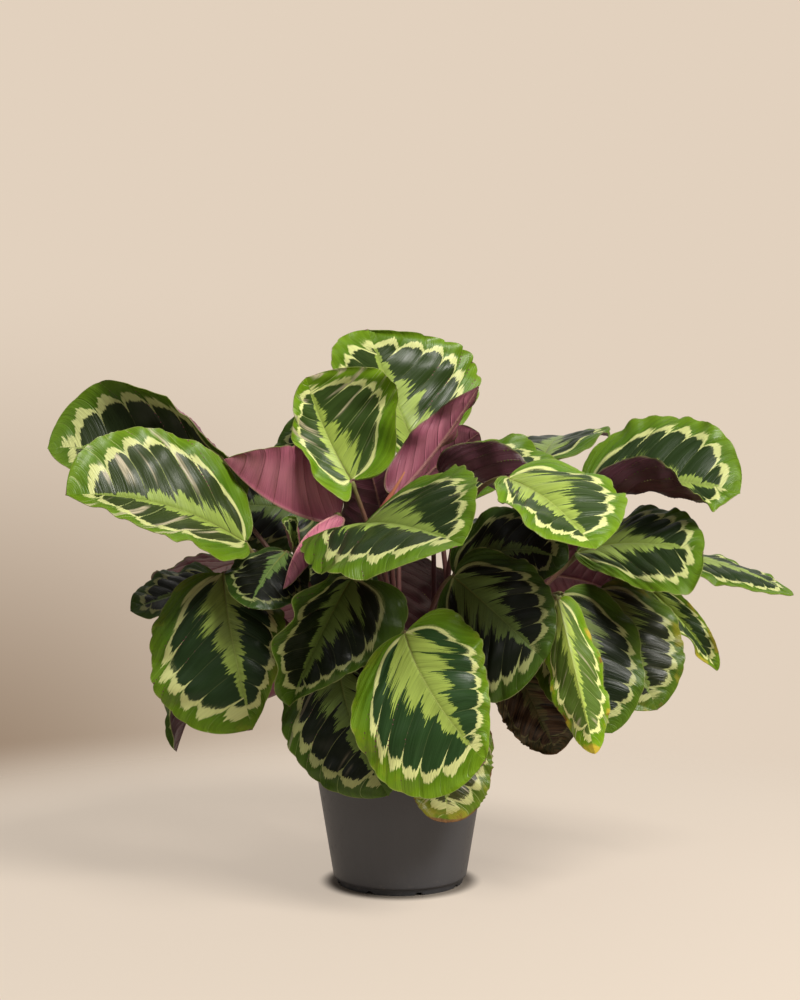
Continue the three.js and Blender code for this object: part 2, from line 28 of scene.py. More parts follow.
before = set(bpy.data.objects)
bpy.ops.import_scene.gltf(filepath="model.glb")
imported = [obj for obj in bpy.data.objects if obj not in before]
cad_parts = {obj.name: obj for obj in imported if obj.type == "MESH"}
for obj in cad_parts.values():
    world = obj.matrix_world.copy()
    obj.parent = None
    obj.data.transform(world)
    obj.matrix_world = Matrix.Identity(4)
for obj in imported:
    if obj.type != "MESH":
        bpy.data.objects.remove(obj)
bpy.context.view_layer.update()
print("stage: frame loaded,", len(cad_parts), "nodes")


def unit(a):  # vectors brought to length 1
    return a / np.linalg.norm(a, axis=-1, keepdims=True)


def smooth(x, low=0.0, high=1.0):  # 0 below low, 1 above high, an S between them
    t = np.clip((x - low) / (high - low), 0, 1)
    return t * t * (3 - 2 * t)


def fullTurn(count):  # so many even angles round a circle
    return np.linspace(0, 2 * np.pi, count, endpoint=False)


def bezier(curve, u):
    # place: the cubic through four control points; way: its unit tangent
    c = np.asarray(curve, float)
    t = np.asarray(u, float)[..., None]
    w = 1 - t
    place = c[0] * w ** 3 + 3 * c[1] * t * w * w + 3 * c[2] * t * t * w + c[3] * t ** 3
    way = (c[1] - c[0]) * w * w + 2 * (c[2] - c[1]) * t * w + (c[3] - c[2]) * t * t
    return place, unit(way)


def gridQuads(rows, columns, loop=False):
    # quads of a grid with that many points along and across; loop joins the last column to the first
    i = np.arange(rows - 1)[:, None]
    j = np.arange(columns if loop else columns - 1)[None, :]
    k = (j + 1) % columns
    corners = [i * columns + j, i * columns + k, (i + 1) * columns + k, (i + 1) * columns + j]
    return np.stack([c + 0 * (i + j) for c in corners], -1).reshape(-1, 4)


def fan(centre, ring):
    # triangles from a centre point to a closed ring of points
    return np.stack([np.full(len(ring), centre), ring, np.roll(ring, -1)], -1)


def endFans(rings, sides):
    # fans that close a stack of rings; its first and last centre points follow the rings
    count = rings * sides
    return np.concatenate([
        fan(count, np.arange(sides)[::-1]), fan(count + 1, np.arange(count - sides, count))])


def putMesh(name, points, quads, triangles=None, skins=(), parts=None, sharp=40):
    # points in millimetres; skins: materials; parts: which skin each face wears
    triangles = np.zeros((0, 3), int) if triangles is None else np.asarray(triangles)
    mesh = bpy.data.meshes.new(name)
    corners = np.concatenate([np.asarray(quads).ravel(), triangles.ravel()]).astype(np.int32)
    sizes = np.concatenate([np.full(len(quads), 4), np.full(len(triangles), 3)])
    mesh.vertices.add(len(points))
    mesh.vertices.foreach_set("co", (np.asarray(points, float) / 1000).astype(np.float32).ravel())
    mesh.loops.add(len(corners))
    mesh.loops.foreach_set("vertex_index", corners)
    mesh.polygons.add(len(sizes))
    mesh.polygons.foreach_set("loop_start", (np.cumsum(sizes) - sizes).astype(np.int32))
    for skin in skins:
        mesh.materials.append(skin)
    if parts is not None:
        mesh.polygons.foreach_set("material_index", np.asarray(parts, np.int32))
    mesh.update(calc_edges=True)
    mesh.validate()
    mesh.set_sharp_from_angle(angle=np.radians(sharp))
    piece = bpy.data.objects.new(name, mesh)
    bpy.context.scene.collection.objects.link(piece)
    return piece


def putField(piece, name, values):
    # a number or a triple for each point, which materials read by its name
    kind = "FLOAT_VECTOR" if values.ndim == 2 else "FLOAT"
    field = piece.data.attributes.new(name, kind, "POINT")
    field.data.foreach_set("vector" if values.ndim == 2 else "value", values.astype(np.float32).ravel())


def tube(curve, radius, sides, steps, ridge=None):
    # rings of that radius carried along a cubic curve on a frame that doesn't twist, closed by low cones
    # radius: function of u; ridge: function of u and angle that scales it
    u = np.linspace(0, 1, steps)
    place, way = bezier(curve, u)
    guide = np.array([1.0, 0, 0]) if abs(way[0][0]) < 0.8 else np.array([0, 1.0, 0])
    side = np.empty_like(way)
    for i in range(steps):
        guide = unit(guide - way[i] * (guide @ way[i]))
        side[i] = guide
    other = np.cross(way, side)
    angle = fullTurn(sides)
    r = radius(u)[:, None] * (1 if ridge is None else ridge(u[:, None], angle[None, :]))
    r = np.broadcast_to(r, (steps, sides))
    rings = (place[:, None] + side[:, None] * (r * np.cos(angle))[..., None]
             + other[:, None] * (r * np.sin(angle))[..., None]).reshape(-1, 3)
    foot = place[:1] - way[:1] * 0.2 * r[0, 0]
    head = place[-1:] + way[-1:] * 0.5 * r[-1, 0]
    points = np.concatenate([rings, foot, head])
    along = np.append(np.repeat(u, sides), [0, 1])
    return points, gridQuads(steps, sides, loop=True), endFans(steps, sides), along


def ringTurns(sides, steps):  # the angle of each point that tube gives
    return np.append(np.tile(fullTurn(sides), steps), [0, 0])


def joinParts(parts):
    # several closed forms as one list of points, quads and triangles, with their fields
    starts = np.cumsum([0] + [len(points) for points, _, _, _ in parts])
    shifted = [(points, quads + first, triangles + first, field)
               for first, (points, quads, triangles, field) in zip(starts, parts)]
    return [np.concatenate(kind) for kind in zip(*shifted)]


class Wire:
    # a value inside a node tree; an operator or a method on it adds the node that works it out
    def __init__(self, nodes, socket):
        self.nodes = nodes
        self.socket = socket

    def math(self, operation, *others):
        return self.nodes.node("Math", {"operation": operation}, dict(enumerate([self, *others])))

    def __add__(self, other):
        return self.math("ADD", other)

    def __sub__(self, other):
        return self.math("SUBTRACT", other)

    def __rsub__(self, other):
        return self.nodes.node("Math", {"operation": "SUBTRACT"}, {0: other, 1: self})

    def __mul__(self, other):
        return self.math("MULTIPLY", other)

    def __truediv__(self, other):
        return self.math("DIVIDE", other)

    def __pow__(self, other):
        return self.math("POWER", other)

    __radd__ = __add__
    __rmul__ = __mul__

    def atLeast(self, low):
        return self.math("MAXIMUM", low)

    def atMost(self, high):
        return self.math("MINIMUM", high)

    def over(self, edge, soft):
        # 0 below the edge, 1 above it, an S as wide as twice soft between them
        mapped = {"interpolation_type": "SMOOTHSTEP", "clamp": True}
        return self.nodes.node("MapRange", mapped, {0: self - edge, 1: -soft, 2: soft, 3: 0.0, 4: 1.0})


class Nodes:
    # a node tree; node adds to it, and the rest are short names for the kinds used here
    def __init__(self, tree):
        self.tree = tree

    def node(self, kind, settings, values, output=0):
        # settings, a ramp's stops among them, are set before the sockets' values or links
        node = self.tree.nodes.new("ShaderNode" + kind)
        for key, value in settings.items():
            if key == "stops":
                self.setStops(node.color_ramp, value)
            else:
                setattr(node, key, value)
        for socket, value in values.items():
            self.feed(node.inputs[socket], value)
        return Wire(self, node.outputs[output])

    def feed(self, socket, value):
        # a link from a wire, or else a constant
        if isinstance(value, Wire):
            self.tree.links.new(value.socket, socket)
        elif isinstance(value, tuple) and socket.type == "RGBA":
            socket.default_value = (*value, 1.0)
        else:
            socket.default_value = value

    def setStops(self, ramp, stops):
        # a ramp's stops from pairs of place and colour
        while len(ramp.elements) < len(stops):
            ramp.elements.new(0.5)
        for element, (place, colour) in zip(ramp.elements, stops):
            element.position = place
            element.color = (*colour, 1.0)

    def parts(self, vector):
        # a vector's three numbers
        split = self.node("SeparateXYZ", {}, {0: vector})
        outputs = split.socket.node.outputs
        return [Wire(self, outputs[i]) for i in range(3)]

    def vector(self, x, y, z):
        # three numbers as one vector
        return self.node("CombineXYZ", {}, {0: x, 1: y, 2: z})

    def mix(self, share, low, high):
        # low at share 0, high at share 1
        settings = {"data_type": "RGBA", "blend_type": "MIX", "clamp_factor": True}
        return self.node("Mix", settings, {0: share, 6: low, 7: high}, 2)

    def dim(self, colour, share):
        # a colour times a number
        return self.node("VectorMath", {"operation": "SCALE"}, {0: colour, 3: share})


class Paint(Nodes):
    # one material: a Principled shader and the nodes that feed it
    def __init__(self, name, **constants):
        # constants: socket names with _ for their blanks
        self.material = bpy.data.materials.new(name)
        self.material.use_nodes = True
        super().__init__(self.material.node_tree)
        self.shader = self.tree.nodes["Principled BSDF"]
        for socket, value in constants.items():
            self.set(socket.replace("_", " "), value)

    def set(self, socket, value):
        # a value or a wire for the Principled shader's socket of that name
        self.feed(self.shader.inputs[socket], value)

    def field(self, name, output=2):
        # what putField gave each point: output 2 is a number, output 1 a triple
        return self.node("Attribute", {"attribute_type": "GEOMETRY", "attribute_name": name}, {}, output)

    def place(self):
        # the point itself, in metres
        return self.node("TexCoord", {}, {}, "Object")

    def noise(self, vector, scale=1.0, detail=2.0, roughness=0.5):
        # smooth random values about 0, mostly within a quarter either side
        found = self.node("TexNoise", {}, {
            "Vector": vector, "Scale": scale, "Detail": detail, "Roughness": roughness})
        return found - 0.5

    def random(self, x, y):
        # one value from 0 to 1 for each pair
        pair = self.vector(x, y, 0.0)
        return self.node("TexWhiteNoise", {"noise_dimensions": "2D"}, {"Vector": pair}, "Value")

    def bump(self, height, distance, strength=1.0):
        # height raises the surface by up to distance, in metres
        made = self.node("Bump", {}, {"Height": height, "Distance": distance, "Strength": strength})
        self.set("Normal", made)


def rgb(r, g, b):
    # a screen colour from 0 to 255 as the linear one that nodes take
    c = np.array([r, g, b]) / 255
    return tuple(float(x) for x in np.where(c <= 0.04045, c / 12.92, ((c + 0.055) / 1.055) ** 2.4))


# base, tip: ends of the midrib. face: the way the upper side looks. width: full width.
# bow: how far the midrib rises at a third and two thirds. sway: how far it bends sideways.
# fold, curl: degrees for the left and right half, seen from above with the tip up.
# ease: share of fold and curl left at the tip. wave, waves, phase: the waved margin.
# lobe: how far the base lobes reach back. root, taper: larger for a narrower base or tip.
# wide: each half's width against half the full one. sweep: how far a half is led toward the
# tip, as a share of the distance from the midrib. These five take one number or one for each half.
# stalk, neck: how far the stalk is led aside low down and near the blade.
# rolled: radii at base and tip of a new leaf that is still rolled into a slim cone.
usualLeaf = dict(
    width=150, bow=(15, 12), sway=0, fold=(10, 10), curl=(-15, -15), ease=0.7, wave=4, waves=3,
    phase=0, lobe=0.07, root=0.5, taper=0.6, wide=1, sweep=0, stalk=(0, 0, 0), neck=(0, 0, 0),
    rolled=None)

leaves = {
    "front_centre": dict(shoot="shoot_front", base=(5, -125, 271), tip=(79, -185, 158),
        face=(-0.15, -1, 0.25), width=158, bow=(25, 12), sway=11, fold=(5, 5), curl=(-35, -20),
        root=(0.4, 0.5), taper=(0.7, 0.48), wide=(0.82, 1.08), sweep=(-0.2, 0.22)),
    "centre_front": dict(shoot="shoot_front", base=(-37, -60, 374), tip=(57, -205, 360),
        face=(-0.56, -0.43, 0.7), width=165, bow=(22, 15), fold=(0, 50), curl=(-20, -50),
        lobe=(0.05, 0.16), root=(0.5, 0.6), taper=(0.8, 0.45), wide=(1.12, 1.25), sweep=(0.1, 0)),
    "centre_right": dict(shoot="shoot_front", base=(54, -85, 324), tip=(139, -132, 246),
        face=(-0.1, -0.9, 0.4), width=151, bow=(12, 10), fold=(30, 0), curl=(-40, -40), taper=(0.6, 0.5),
        wide=(0.76, 1.02), sweep=(0, 0.35)),
    "left_centre": dict(shoot="shoot_front", base=(-49, -76, 322), tip=(-108, -116, 200),
        face=(-0.1, -0.95, 0.3), width=140, fold=(10, 78), curl=(-20, 0), ease=0.9, wave=6, waves=3.5,
        root=(0.4, 0.7), taper=(1.2, 0.6)),
    "low_left_dark": dict(shoot="shoot_front", base=(-64, -70, 250), tip=(-12, -113, 112),
        face=(-0.2, -1, 0.15), width=156, sway=10, curl=(-25, -25), phase=0.5, wide=(0.7, 0.88),
        sweep=(0, -0.1)),
    "pot_right": dict(shoot="shoot_front", base=(44, -66, 212), tip=(45, -116, 86), face=(0.15, -1, 0.1),
        width=112, taper=0.42, wide=(0.82, 0.72)),
    "mid_right_dark": dict(shoot="shoot_front", base=(56, -58, 326), tip=(167, -88, 340),
        face=(-0.1, -0.85, 0.5), width=96, bow=(20, 20), sway=-16, root=0.65),
    "left_big": dict(shoot="shoot_left", base=(-182, -40, 325), tip=(-147, -95, 174),
        face=(-0.1, -1, 0.2), width=152, bow=(30, 15), fold=(5, 5), curl=(-60, -20), lobe=(0.05, 0.1),
        root=(0.5, 0.48), taper=(0.9, 0.45), wide=(0.75, 1.15), sweep=(-0.15, 0.06)),
    "left_front": dict(shoot="shoot_left", base=(-160, -36, 357), tip=(-328, -108, 406),
        face=(0, -0.9, 0.45), width=145, bow=(20, 20), sway=14, fold=(45, 8), curl=(-10, -15), ease=1.1,
        wave=2.5, lobe=(0, 0.07), root=(0.5, 0.62), taper=(0.8, 0.5), wide=(1.15, 1.12)),
    "left_rear": dict(shoot="shoot_left", base=(-173, 12, 392), tip=(-366, -20, 455),
        face=(0.05, -0.85, 0.5), width=168, sway=24, fold=(0, 5), curl=(-10, 225), ease=0.05, wave=3,
        root=0.75, wide=(0.5, 1.02)),
    "left_small": dict(shoot="shoot_left", base=(-116, -60, 348), tip=(-148, -117, 296),
        face=(-0.3, -0.75, 0.6), width=85, bow=(8, 6), fold=(-30, 10), waves=3),
    "left_back": dict(shoot="shoot_left", base=(-176, 25, 302), tip=(-282, -10, 285),
        face=(-0.2, -0.5, 0.8), width=100),
    "left_low_tip": dict(shoot="shoot_left", base=(-170, 20, 251), tip=(-236, 1, 136),
        face=(-0.8, -0.3, 0.2), width=77, fold=(60, 60)),
    "left_pink": dict(shoot="shoot_left", base=(-68, 1, 376), tip=(-181, -34, 442), face=(0, 0.1, 1),
        width=138, bow=(-18, -18), fold=(75, 62), curl=(10, 10), wave=2),
    "left_pink_low": dict(shoot="shoot_left", base=(-66, -34, 384), tip=(-114, -112, 314),
        face=(0.6, 0.2, -0.7), width=42, bow=(-20, -16), fold=(30, 30), curl=(70, 70), wave=1),
    "left_new": dict(shoot="shoot_left", base=(-108, -48, 352), tip=(-115, -50, 384), face=(0.2, -1, 0),
        width=36, bow=(3, 3), fold=(30, 30), curl=(110, 110), wave=0),
    "top_back": dict(shoot="shoot_back_right", base=(27, 86, 440), tip=(-36, 106, 592),
        face=(0.15, -0.95, 0.3), width=182, bow=(-10, -10), fold=(40, 0), curl=(20, -15),
        root=(0.5, 1.15), taper=(0.6, 1.05), wide=(1, 1.2), sweep=(0.35, 0.05), stalk=(0, 55, 30),
        neck=(0, 30, 0)),
    "top_front": dict(shoot="shoot_centre", base=(-50, -30, 421), tip=(-97, -30, 527),
        face=(0.3, -0.95, 0.1), width=128, bow=(-20, -20), fold=(10, 20), curl=(20, 35),
        lobe=(0.26, 0.26), root=(0.5, 0.55), taper=(0.6, 0.45), wide=(0.58, 1.36), sweep=(0, 0.15)),
    "top_pink": dict(shoot="shoot_centre", base=(-3, -12, 405), tip=(81, -35, 518),
        face=(0.3, 0.9, -0.2), width=62, fold=(100, 0), curl=(20, -10), wave=5, root=0.6, taper=1,
        wide=(0.45, 1.02)),
    "mid_purple": dict(shoot="shoot_centre", base=(2, 50, 396), tip=(86, 56, 474),
        face=(-0.3, 0.85, 0.45), width=84),
    "centre_cup": dict(shoot="shoot_centre", base=(-10, 24, 346), tip=(-34, 30, 442),
        face=(0.3, 0.9, -0.3), width=100, bow=(4, 4), fold=(10, 10), curl=(25, 25), wave=3,
        wide=(1, 0.75)),
    "new_spear": dict(shoot="shoot_centre", base=(-18, -38, 392), tip=(5, -40, 430), face=(0.3, -1, 0),
        bow=(1, 1), rolled=(3.4, 0.7)),
    "back_dark_centre": dict(shoot="shoot_back_left", base=(-50, 120, 412), tip=(-120, 165, 500),
        face=(-0.1, -0.9, 0.4), width=120),
    "centre_dark": dict(shoot="shoot_centre", base=(-40, 72, 374), tip=(-83, 66, 256),
        face=(-0.2, -0.9, 0.4), width=90, bow=(15, 9)),
    "back_dark_left": dict(shoot="shoot_back_left", base=(-93, 88, 386), tip=(-205, 75, 394),
        face=(0, -0.9, 0.45), width=110),
    "right_arch": dict(shoot="shoot_right", base=(44, 10, 430), tip=(150, -26, 374),
        face=(0.3, -0.75, 0.6), width=145, bow=(26, 16), fold=(15, 60), curl=(-20, 120), root=0.75,
        wide=(1.15, 0.8)),
    "right_front": dict(shoot="shoot_right", base=(107, -100, 422), tip=(180, -200, 356),
        face=(0.25, -0.6, 0.8), width=148, fold=(26, 15), curl=(-45, -5), lobe=(0.08, 0.02),
        root=(0.5, 0.8), wide=(1.1, 0.85), sweep=(-0.1, 0.05), stalk=(-40, 19, 38), neck=(-22, 25, 20)),
    "back_right": dict(shoot="shoot_back_right", base=(158, 90, 444), tip=(205, 225, 478),
        face=(-0.25, -0.4, 0.9), width=128),
    "right_top": dict(shoot="shoot_right", base=(200, -5, 401), tip=(343, -65, 408),
        face=(-0.1, -0.85, 0.55), width=165, sway=-16, fold=(5, 0), curl=(-20, 230), ease=0.1, wave=2.5,
        root=(0.5, 0.45), taper=(0.6, 1), wide=(1.07, 0.85), sweep=(0, 0.5), stalk=(30, 45, -20)),
    "right_mid": dict(shoot="shoot_right", base=(186, -10, 345), tip=(300, -95, 349),
        face=(0.15, -0.75, 0.65), width=140, bow=(20, 15), curl=(-20, -20), root=(0.6, 0.8),
        wide=(0.8, 1), sweep=(0.1, 0.6)),
    "far_right": dict(shoot="shoot_back_right", base=(285, 35, 340), tip=(415, 0, 301),
        face=(0, -0.1, 1), width=90, fold=(6, -12), wave=2, stalk=(0, 60, 0)),
    "right_low_narrow": dict(shoot="shoot_right", base=(258, 10, 312), tip=(334, -5, 222),
        face=(0.3, -0.9, 0.3), width=36, fold=(55, 45)),
    "right_low_outer": dict(shoot="shoot_right", base=(208, -15, 307), tip=(259, -70, 190),
        face=(0.1, -1, 0.2), width=130, fold=(10, 5), curl=(-30, -20), wide=(0.88, 1)),
    "right_low_inner": dict(shoot="shoot_right", base=(165, -58, 305), tip=(209, -105, 172),
        face=(0.2, -1, 0.15), width=110, fold=(10, -15)),
    "low_right_narrow": dict(shoot="shoot_right", base=(156, -100, 303), tip=(187, -145, 158),
        face=(-0.1, -1, 0.1), width=64, fold=(-35, -35), wave=3, stalk=(-10, -30, 40)),
    "under_right": dict(shoot="shoot_right", base=(117, -30, 234), tip=(160, -50, 142),
        face=(0, -1, 0.1), width=100, bow=(8, 6), wide=(1, 0.7)),
    "right_under": dict(shoot="shoot_right", base=(154, 40, 320), tip=(226, 20, 304), face=(0, 0.9, 0.4),
        width=96, fold=(10, 0)),
    "back_top": dict(shoot="shoot_back_right", base=(62, 112, 395), tip=(98, 218, 452),
        face=(-0.1, 0.3, 0.9), width=140),
    "back_high_left": dict(shoot="shoot_back_left", base=(-75, 138, 365), tip=(-150, 250, 375),
        face=(-0.2, 0.5, 0.8), width=140),
    "back_left_side": dict(shoot="shoot_back_left", base=(-150, 105, 335), tip=(-281, 155, 286),
        face=(-0.4, 0.3, 0.85), width=140),
    "back_left_low": dict(shoot="shoot_back_left", base=(-105, 115, 285), tip=(-165, 185, 165),
        face=(-0.5, 0.85, 0.2), width=140),
    "back_middle": dict(shoot="shoot_back_left", base=(-15, 140, 335), tip=(-25, 225, 225),
        face=(0, 0.9, 0.5), width=150),
    "back_low": dict(shoot="shoot_back_right", base=(20, 110, 250), tip=(30, 165, 120), face=(0, 1, 0.2),
        width=145),
    "back_right_low": dict(shoot="shoot_back_right", base=(120, 115, 285), tip=(180, 185, 175),
        face=(0.5, 0.85, 0.2), width=140),
    "back_right_side": dict(shoot="shoot_back_right", base=(160, 75, 335), tip=(285, 130, 300),
        face=(0.4, 0.3, 0.85), width=140),
    "back_crown": dict(shoot="shoot_back_left", base=(-40, 160, 415), tip=(-70, 252, 402),
        face=(-0.2, 0.5, 0.85), width=130),
    "back_right_high": dict(shoot="shoot_back_right", base=(112, 128, 372), tip=(190, 232, 355),
        face=(0.3, 0.5, 0.8), width=130),
    "side_right": dict(shoot="shoot_back_right", base=(215, 70, 292), tip=(300, 100, 205),
        face=(0.7, 0.3, 0.5), width=110),
    "side_left": dict(shoot="shoot_back_left", base=(-190, 85, 262), tip=(-245, 125, 190),
        face=(-0.7, 0.2, 0.5), width=110),
}

# tone, with painted shade: 0 for an old dark leaf, and as dark for a leaf deep in the plant as painted
# shade, 1 for a young light one. young: pale stripes along the veins.
# dry: brown at the tip. yellow: yellow patches at the margin. pink: how light and pink the underside is,
# partly painted light on undersides turned toward the lamps.
# feather, band: width of the light feather and of the cream band. cool: how blue the dark zone is.
# scallop: how deep the margin's scallops are. wilt: how brown the whole blade is.
usualLook = dict(
    tone=0.12, young=0, dry=0, yellow=0, pink=0.3, feather=1, band=1, cool=0.3, scallop=1, wilt=0)

looks = {
    "front_centre": dict(tone=0.7, yellow=0.1, feather=1.15, cool=0.55),
    "centre_front": dict(tone=0.44, feather=0.9, scallop=2.2),
    "centre_right": dict(tone=0.14),
    "centre_cup": dict(tone=0.4, pink=0.12),
    "centre_dark": dict(tone=0.0, pink=0.05, feather=0.5),
    "left_big": dict(tone=0.48, yellow=0.1, feather=0.72, band=1.35, cool=0.5),
    "left_centre": dict(tone=0.18, scallop=1.4),
    "low_left_dark": dict(tone=0.16, young=0.3, band=1.3),
    "mid_right_dark": dict(tone=0.08),
    "left_back": dict(tone=0.14, scallop=2.6),
    "left_low_tip": dict(tone=0.2, dry=0.4, pink=0.1),
    "left_front": dict(tone=0.6, young=0.8, dry=0.5, feather=0.75, cool=0),
    "left_rear": dict(tone=0.42, pink=0.55, band=1.2, cool=0.1),
    "left_small": dict(tone=0.04, feather=0.5, band=0.7),
    "top_back": dict(tone=0.62, feather=1.1, cool=0.15, scallop=2.4),
    "top_front": dict(tone=0.84, young=1, pink=0.5, feather=0.8, cool=0.15),
    "top_pink": dict(tone=0.6, pink=0.62),
    "left_pink": dict(tone=0.6, pink=0.9),
    "left_pink_low": dict(tone=0.6, pink=0.85),
    "left_new": dict(tone=0.3, pink=0.5),
    "mid_purple": dict(tone=0.5),
    "right_arch": dict(tone=0.45, pink=0.1),
    "right_front": dict(tone=0.72, feather=1.2, cool=0.2),
    "right_top": dict(tone=0.52, dry=0.3, pink=0.1),
    "right_mid": dict(tone=0.42),
    "far_right": dict(tone=0.5, dry=0.3),
    "under_right": dict(tone=0.0, dry=1, yellow=0.2, band=0.4, wilt=0.65, scallop=2.5),
    "right_low_narrow": dict(tone=0.6, yellow=0.6, dry=0.5),
    "low_right_narrow": dict(tone=1.4, yellow=1, dry=0.6, young=0.6, feather=0.7, cool=0),
    "pot_right": dict(tone=0.6, dry=1, yellow=0.4, young=1, band=1.3, cool=0, wilt=0.25),
    "right_low_outer": dict(tone=0.3, yellow=0.3, wilt=0.08),
    "right_low_inner": dict(tone=0.3),
    "back_right": dict(tone=0.35),
    "back_top": dict(tone=0.45),
    "back_high_left": dict(tone=0.45),
    "back_crown": dict(tone=0.55),
    "back_right_side": dict(tone=0.4),
    "back_left_side": dict(tone=0.4),
    "back_middle": dict(tone=0.3, pink=0.08),
    "back_low": dict(tone=0.25, pink=0.08),
    "side_left": dict(tone=0.3),
    "side_right": dict(tone=0.35),
}

# leaves whose fine piece is let out a little, to close a gap that the photo doesn't show
letOut = {
    "centre_cup": dict(wide=(1, 1.02)),
}

# rib, groove: the midrib below and the channel above it. sections: side veins to a half.
# veinSweep: how far they lean forward. pleat, scallop, sway, frill, crisp: heights of the blade's
# waves between the veins, of its scallops, slow bends, frilled edge and dry torn edge.
blade = dict(
    rows=97, columns=73, slimBelow=70, thickness=0.6, baseThickness=2.8, baseHalf=2.2, tipHalf=0.8,
    rib=1.5, ribWidth=1.9, groove=0.7, grooveWidth=1.5, sections=6, veinSweep=0.5, pleat=2.6,
    scallop=2.4, sway=2.2, frill=0.9, dryFrill=1.4, dripTip=1.5, crisp=2.6, drawnAt=150)


def outline(u, p, q):
    # u^p times (1-u)^q, scaled to reach 1 where the blade is widest
    m = p / (p + q)
    return np.maximum(u, 0) ** p * np.maximum(1 - u, 0) ** q / (m ** p * (1 - m) ** q)


def ofHalf(value, right):
    # the value for the half that a point is on, which a leaf gives once or once for each half
    low, high = value if isinstance(value, tuple) else (value, value)
    return np.where(right, high, low)


def halfWidth(leaf, u, v):
    # the outline's share and the full width of the half that a point is on
    right = v > 0
    shape = outline(u, ofHalf(leaf["root"], right), ofHalf(leaf["taper"], right))
    return shape, leaf["width"] / 2 * ofHalf(leaf["wide"], right)


def midrib(leaf):
    # a cubic from base to tip, raised along the face's side and bent aside
    base, tip, face = (np.array(leaf[k], float) for k in ("base", "tip", "face"))
    chord = tip - base
    way = unit(chord)
    up = unit(face - way * (face @ way))
    side = np.cross(way, up)
    inner = [base + chord * s + up * rise + side * leaf["sway"]
             for s, rise in zip((1 / 3, 2 / 3), leaf["bow"])]
    return [base, *inner, tip], up, side, np.linalg.norm(chord)


def veins(leaf, u, v):
    # side veins leave the midrib and sweep forward: q is where the vein through (u, v) started.
    # phase counts the sections between veins; part is how far across its own section a point is
    sweep = blade["veinSweep"] * np.abs(v) ** 1.15
    q = (u - sweep) / (1 - 0.9 * sweep)
    phase = q * blade["sections"] + 10 + leaf["seed"] + np.where(v > 0, 0.4, 0)
    return q, phase, phase - np.floor(phase)


def marginReach(leaf, u, v, half, part, body):
    # distance from the midrib: v's share of the half, scalloped between the veins near the margin
    # and, where the leaf is dry, torn back by sines of uneven length
    a = np.abs(v)
    scallop = blade["scallop"] * leaf["scallop"] * (np.sin(np.pi * part) ** 0.5 - 0.7) * a ** 7
    slow = 3 * np.sin(2 * np.pi * 3.7 * u + 6 * leaf["seed"])
    torn = np.sin(2 * np.pi * (9.1 * u + 1.3 * (v > 0)) + slow) ** 2
    return a * half + scallop * body - blade["crisp"] * leaf["dry"] * torn * a ** 9 * body


def ripples(leaf, u, v, part, body):
    # height above the plain sheet: the waved margin, a pleat between each two veins, slow bends
    # across the blade, and a frill that grows toward the edge
    right, a = v > 0, np.abs(v)
    cycle = 2 * np.pi * (leaf["waves"] * u + leaf["phase"] + np.where(right, 0.35, 0))
    wave = leaf["wave"] * a * a * np.sin(cycle) * np.sqrt(np.sin(np.pi * u))
    pleat = blade["pleat"] * (np.sin(np.pi * part) ** 0.6 - 0.7) * smooth(a, 0, 0.35) * (1 - 0.3 * a ** 3)
    drift = 2 * np.pi * (1.7 * u + 0.6 * v + leaf["seed"])
    bend = blade["sway"] * (np.sin(drift) + 0.6 * np.sin(2.3 * drift + 1)) * a
    turn = 2 * np.pi * (7.3 * u + 1.9 * leaf["seed"] + 2.1 * right)
    frill = blade["frill"] + blade["dryFrill"] * leaf["dry"]
    frill = frill * np.sin(turn) * (1 + np.sin(0.37 * turn)) * a ** 4
    return wave + (pleat + bend + frill) * body


def bladeSurface(leaf, u, v):
    # a point's distance from the midrib is laid along an arc that starts at the fold angle and
    # bends by the curl; ripples rise along the arc's own normal and the base lobes reach back
    curve, up, side, length = midrib(leaf)
    place, way = bezier(curve, u)
    across = unit(side - way * (side * way).sum(-1, keepdims=True))
    normal = np.cross(across, way)
    right, a = v > 0, np.abs(v)
    _, _, part = veins(leaf, u, v)
    shape, full = halfWidth(leaf, u, v)
    half = full * shape + blade["baseHalf"] * (1 - u) + blade["tipHalf"] * u
    size = leaf["width"] / blade["drawnAt"]
    body = np.sqrt(np.sin(np.pi * u)) * size
    ease = 1 + (leaf["ease"] - 1) * u
    fold = np.radians(ofHalf(leaf["fold"], right)) * ease
    curl = np.radians(ofHalf(leaf["curl"], right)) * ease / full
    curl = np.where(np.abs(curl) < 1e-6, 1e-6, curl)
    end = fold + curl * marginReach(leaf, u, v, half, part, body)
    out = (np.sin(end) - np.sin(fold)) / curl
    rise = (np.cos(fold) - np.cos(end)) / curl
    ripple = ripples(leaf, u, v, part, body)
    lobed = 2.7 * ofHalf(leaf["lobe"], right) * length * a ** 1.6 * (1 - u) ** 5 * shape
    led = ofHalf(leaf["sweep"], right) * a * full * shape
    drip = blade["dripTip"] * size * smooth(u, 0.95, 1) * (1 - a)
    sign = np.where(right, 1.0, -1.0)
    place = place + across * (sign * (out - np.sin(end) * ripple))[..., None]
    place = place + normal * (rise + np.cos(end) * ripple)[..., None]
    return place + way * (led - lobed + drip)[..., None]


def shellFaces(rows, columns):
    # quads of two grids, the second one the underside, and of the rim that joins them
    count = rows * columns
    top = gridQuads(rows, columns)
    under = top[:, ::-1] + count
    edge = np.concatenate([
        np.arange(columns), np.arange(1, rows) * columns + columns - 1,
        (rows - 1) * columns + np.arange(columns - 2, -1, -1), np.arange(rows - 2, 0, -1) * columns])
    following = np.roll(edge, -1)
    rim = np.stack([edge, edge + count, following + count, following], -1)
    wears = np.repeat([0, 1, 0], [len(top), len(under), len(rim)])
    return np.concatenate([top, under, rim]), wears


